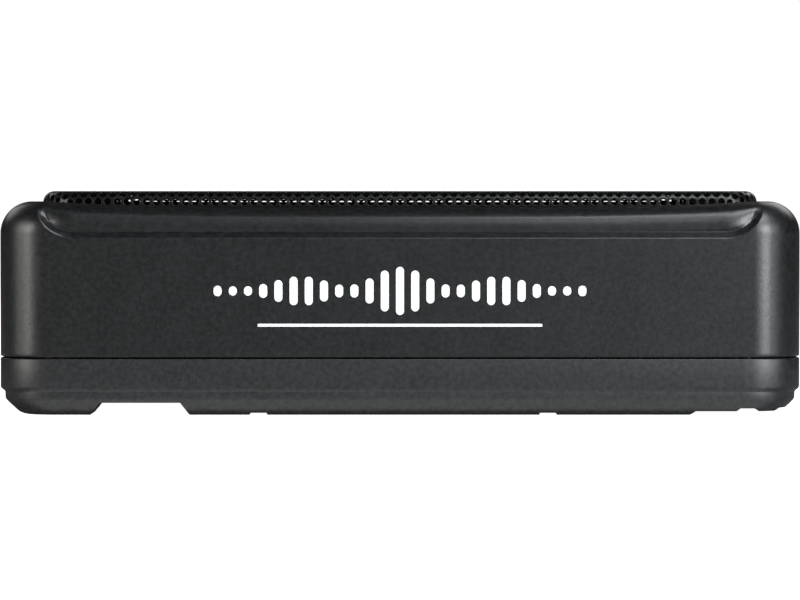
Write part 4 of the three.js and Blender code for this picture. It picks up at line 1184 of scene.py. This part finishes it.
def knob(name, x):
    back = PANEL_FACE + 0.4
    face = back + 6.6
    profile = [(0, CONTROL_BACK), (2.7, CONTROL_BACK), (3, 155.2), (3, back + 0.3), (4.5, back + 0.3),
               (4.8, back + 0.6), (4.8, face - 1.4), (4.65, face - 0.5), (4.2, face - 0.1), (3.9, face),
               (0, face)]
    made = turned(profile, 120, (x, 0, KNOB_Z), "Y")
    places = places_of(made)
    offset = places[:, [0, 2]] - [x, KNOB_Z]
    radius = np.hypot(offset[:, 0], offset[:, 1])
    flute = 0.5 * (1 - np.cos(24 * np.arctan2(offset[:, 1], offset[:, 0]))) * (radius > 4.4)
    places[:, [0, 2]] = offset * (1 - 0.055 * flute)[:, None] + [x, KNOB_Z]
    move_to(made, places)
    cut(made, slab(x, 0.5, face - 1, face + 1, KNOB_Z + 0.8, KNOB_Z + 6))
    finished(made, name, looks.knob, angle=40)
    line = bevel(slab(x, 0.42, face - 0.95, face - 0.35, KNOB_Z + 0.9, KNOB_Z + 3.8), 0.1, 1)
    finished(line, name + "_pointer", looks.print, body=BODY_OF[name])


def connector(name, tools):
    x0, x1, z0, z1, face = CONNECTORS[name]
    finished(bevel(cut(block(x0, x1, CONNECTOR_BACK, face, z0, z1), *tools), 0.3), name, looks.plastic)


def power_terminal():
    z = TERMINAL_SCREW_Z
    tools = [slab(x, 3.3, 159, PAST_FACES, 30, 36.6) for x in ENTRIES]
    connector("power_terminal", tools + [bar_y(x, z, 2.2, 163, PAST_FACES, 40) for x in ENTRIES])
    for number, x in enumerate(ENTRIES, 1):
        clamp = cut(slab(x, 2.9, CAVITY_BACK, 165.5, 30.4, 36.2), slab(x, 2.2, 159, 167, 31.1, 35.6))
        finished(bevel(clamp, 0.2), f"terminal_clamp_{number}", looks.zinc)
        head = turned(rounded(disc(1.95, 163.2, 165.4), 0.3), 32, (x, 0, z), "Y")
        cut(head, slab(x, 2.5, 164.5, 167, z - 0.3, z + 0.3))
        finished(head, f"terminal_screw_{number}", looks.zinc)


def fuses():
    blade_x = [FUSE_X + away for away in BLADE_AWAY]
    connector("fuse_holder", [slab(x, 2.9, 159, 168, z - 0.7, z + 0.7) for z in FUSE_ROWS for x in blade_x])
    for number, z in enumerate(FUSE_ROWS, 1):
        body = slab(FUSE_X, 9.6, 167.3, 171.8, z - 2.5, z + 2.5)
        waist = [slab(FUSE_X, 5.4, 166, 170, side - 0.6, side + 0.6) for side in (z - 2.4, z + 2.4)]
        tests = [slab(x, 0.9, 171, 173, z - 0.8, z + 0.8) for x in blade_x]
        finished(bevel(cut(body, *waist, *tests), 0.35), f"fuse_{number}", looks.amber)
        blades = [bevel(slab(x, 2.5, 160, 167.2, z - 0.35, z + 0.35), 0.15, 1) for x in blade_x]
        finished(merged(blades), f"fuse_{number}_blades", looks.tin)


def sockets():
    cavity = block(1.6, 14.4, CAVITY_BACK, PAST_FACES, 31.6, 40.4)
    key = block(6.4, 9.6, 163, PAST_FACES, 40, 41.2)
    connector("high_level_socket", [cavity, key])
    pins = [bevel(slab(x, 0.4, 160.1, 165, z - 0.4, z + 0.4), 0.12, 1)
            for x in (3.6, 6.5, 9.5, 12.4) for z in (34, 38)]
    finished(merged(pins), "high_level_pins", looks.gold)
    cavity = block(-33.6, -22.4, CAVITY_BACK, PAST_FACES, 31.6, 40.2)
    key = block(-30, -26, 161, PAST_FACES, 40, 41.3)
    connector("remote_port", [cavity, key])
    pins = [bevel(slab(x, 0.2, 160.1, 164.5, 33.2, 33.6), 0.06, 1) for x in np.linspace(-31.5, -24.5, 6)]
    finished(merged(pins), "remote_port_pins", looks.gold)


def jacks():
    face = PANEL_FACE
    shell = [(1.7, 162), (3.2, 162), (3.2, 170.7), (3.4, 171), (3.95, 171), (4.1, 170.7), (4.1, face + 1.4),
             (5.4, face + 1.4), (5.6, face + 1.2), (5.6, face + 0.5), (5.4, face + 0.3), (4.1, face + 0.3),
             (4.1, CONNECTOR_BACK), (1.7, CONNECTOR_BACK)]
    core = rounded([(1.7, 162.1), (3.1, 162.1), (3.1, 170), (1.7, 170)], 0.3)
    for (name, z), look in zip(JACKS.items(), (looks.print, looks.red)):
        finished(turned(shell, 72, (JACK_X, 0, z), "Y"), name, looks.gold, angle=30)
        finished(turned(core, 48, (JACK_X, 0, z), "Y"), name + "_insulator", look)


def controls():
    x, z = LEVER_X, LEVER_Z
    stem = slab(x, 1.4, CONTROL_BACK, PANEL_FACE + 3, z - 1.5, z + 1.5)
    join(stem, slab(x, 1.4, PANEL_FACE + 1.4, PANEL_FACE + 3.8, z - 0.5, z + 0.5))
    finished(bevel(stem, 0.25), "phase_switch_lever", looks.knob)
    lens = [(0, 155), (1.5, 155), (1.5, 164.1), (1.3, 164.7), (0.8, 165.1), (0, 165.2)]
    finished(turned(lens, 40, (LED_PLACE[0], 0, LED_PLACE[1]), "Y"), "power_led", looks.led)
    finished(bevel(slab(0, 83, *CONTROL_BOARD_Y, 23, 49), 0.15, 1), "control_board", looks.board)
    pots = (cut(slab(x, 5.5, 154.7, 160.5, KNOB_Z - 6, KNOB_Z + 5), bar_y(x, KNOB_Z, 3.3, 154, 162, 40))
            for x in KNOBS.values())
    numbered("potentiometer", looks.tin, (bevel(pot, 0.4) for pot in pots))


def connection_panel():
    panel_plate()
    panel_marks()
    for name, x in KNOBS.items():
        knob(name, x)
    power_terminal()
    fuses()
    sockets()
    jacks()
    controls()


# ---- front print

def front_print():
    """A plain sound-wave pictogram of rounded bars over a thin rule, in place of any lettering."""
    pitch, half_wide, middle_z = 4.7, 1.25, 38.6
    outlines = []
    for number in range(-12, 13):
        swell = 0.55 + 0.45 * math.cos(number * 0.9)
        half_high = 1.25 + 6.2 * swell * math.exp(-(number / 8.5) ** 2)
        rise = half_high - half_wide
        top = arc(number * pitch, middle_z + rise, half_wide, 0, 180, 12)
        outlines.append(top + arc(number * pitch, middle_z - rise, half_wide, 180, 360, 12))
    outlines.append([(x * 44, 28 + 0.45 * s) for x, s in ((-1, -1), (1, -1), (1, 1), (-1, 1))])
    bars = [prism(outline, -HALF_Y - 0.07, -HALF_Y - 0.01) for outline in outlines]
    finished(merged(bars), "front_print", looks.print, angle=0)


# ---- stage, lights and camera, in metres

CAMERA = SimpleNamespace(lens=180, distance=1.2365, height=0.0665, aim_height=0.0358)
NEUTRAL, WARM, COOL = (1, 1, 1), (1, 0.99, 0.96), (0.93, 0.97, 1)
# Softboxes as [name, degrees to the right of the front, degrees up, away, width and height, watts, colour].
SOFTBOXES = [
    ("left_strip", -50, 12, 1.5, (0.4, 0.9), 11, WARM),
    ("left_side", -70, 12, 1.5, (0.4, 0.9), 4.4, WARM),
    ("right_strip", 35, 12, 1.5, (0.4, 0.9), 23, COOL),
    ("right_side", 56, 12, 1.5, (0.4, 0.9), 3, COOL),
    ("right_near", 35, 50, 0.8, (0.4, 0.4), 4.4, COOL),
    ("rear_right", 148, 30, 1.5, (0.8, 0.5), 3, NEUTRAL),
    ("rear_left", -138, 28, 1.5, (0.8, 0.5), 2, NEUTRAL),
]


def add_camera():
    data = bpy.data.cameras.new("camera")
    data.lens = CAMERA.lens
    data.sensor_width = 36
    data.clip_end = 50
    camera = linked(bpy.data.objects.new("camera", data))
    front_y = -HALF_Y * MM
    camera.location = (0, front_y - CAMERA.distance, CAMERA.height)
    aim = Vector((0, front_y, CAMERA.aim_height)) - camera.location
    camera.rotation_euler = aim.to_track_quat("-Z", "Y").to_euler()
    bpy.context.scene.camera = camera


def add_light(name, size, power, colour, place, rotation):
    data = bpy.data.lights.new(name, "AREA")
    data.shape = "RECTANGLE"
    data.size, data.size_y = size
    data.energy = power
    data.color = colour
    light = linked(bpy.data.objects.new(name, data))
    light.location = place
    light.rotation_euler = rotation
    light.visible_camera = False


def add_lights():
    """The softboxes, and a glowing strip along the front's foot that lifts the rounded edge above it."""
    for name, azimuth, elevation, distance, size, power, colour in SOFTBOXES:
        turn, rise = math.radians(azimuth), math.radians(elevation)
        away = Vector((math.sin(turn) * math.cos(rise), -math.cos(turn) * math.cos(rise), math.sin(rise)))
        rotation = (-away).to_track_quat("-Z", "Y").to_euler()
        add_light(name, size, power, colour, Vector((0, -0.1, 0.04)) + away * distance, rotation)
    card = (0.24, 0.014)
    place = (0, 0.002 - HALF_Y * MM - card[1] / 2, 0.0004)
    add_light("bounce_card", card, 0.008, NEUTRAL, place, (math.pi, 0, 0))


def add_floor():
    """A floor that the camera sees as plain white and that reflects much less onto the piece."""
    far = 6000
    floor = solid([(-far, -far, 0), (far, -far, 0), (far, far, 0), (-far, far, 0)], [(0, 1, 2, 3)])
    floor.name = "floor"
    nodes = Nodes("pale_floor")
    seen = nodes.add("LightPath").outputs["Is Camera Ray"]
    mottled = nodes.blend(nodes.noise(3), (0.8, 0.8, 0.8), (0.82, 0.82, 0.82))
    nodes.give({
        "Base Color": nodes.blend(seen, (0.35, 0.35, 0.35), mottled), "Roughness": 0.9,
        "Specular IOR Level": 0.1, "Emission Color": (1, 1, 1),
        "Emission Strength": nodes.spread(seen, 0.0, 1.0, 0, 1),
    })
    floor.data.materials.append(nodes.material)


def add_world():
    """A white backdrop for the camera, and a faint even light for everything else."""
    world = bpy.data.worlds.new("studio")
    world.use_nodes = True
    tree = world.node_tree
    seen = tree.nodes.new("ShaderNodeLightPath").outputs["Is Camera Ray"]
    ambient, shown = tree.nodes["Background"], tree.nodes.new("ShaderNodeBackground")
    for background, strength in ((ambient, 0.026), (shown, 1.05)):
        background.inputs["Color"].default_value = (1, 1, 1, 1)
        background.inputs["Strength"].default_value = strength
    mix = tree.nodes.new("ShaderNodeMixShader")
    for source, target in zip((seen, ambient.outputs[0], shown.outputs[0]), mix.inputs):
        tree.links.new(source, target)
    tree.links.new(mix.outputs[0], tree.nodes["World Output"].inputs["Surface"])
    bpy.context.scene.world = world
    bpy.context.scene.view_settings.view_transform = "Standard"


# ---- the whole scene


add_camera()
add_lights()
add_floor()
add_world()
upper_shell()
lower_shell()
grille_sheets()
bracket_inserts()
fasteners()
driver()
amplifier()
connection_panel()
front_print()
keep_gasket()
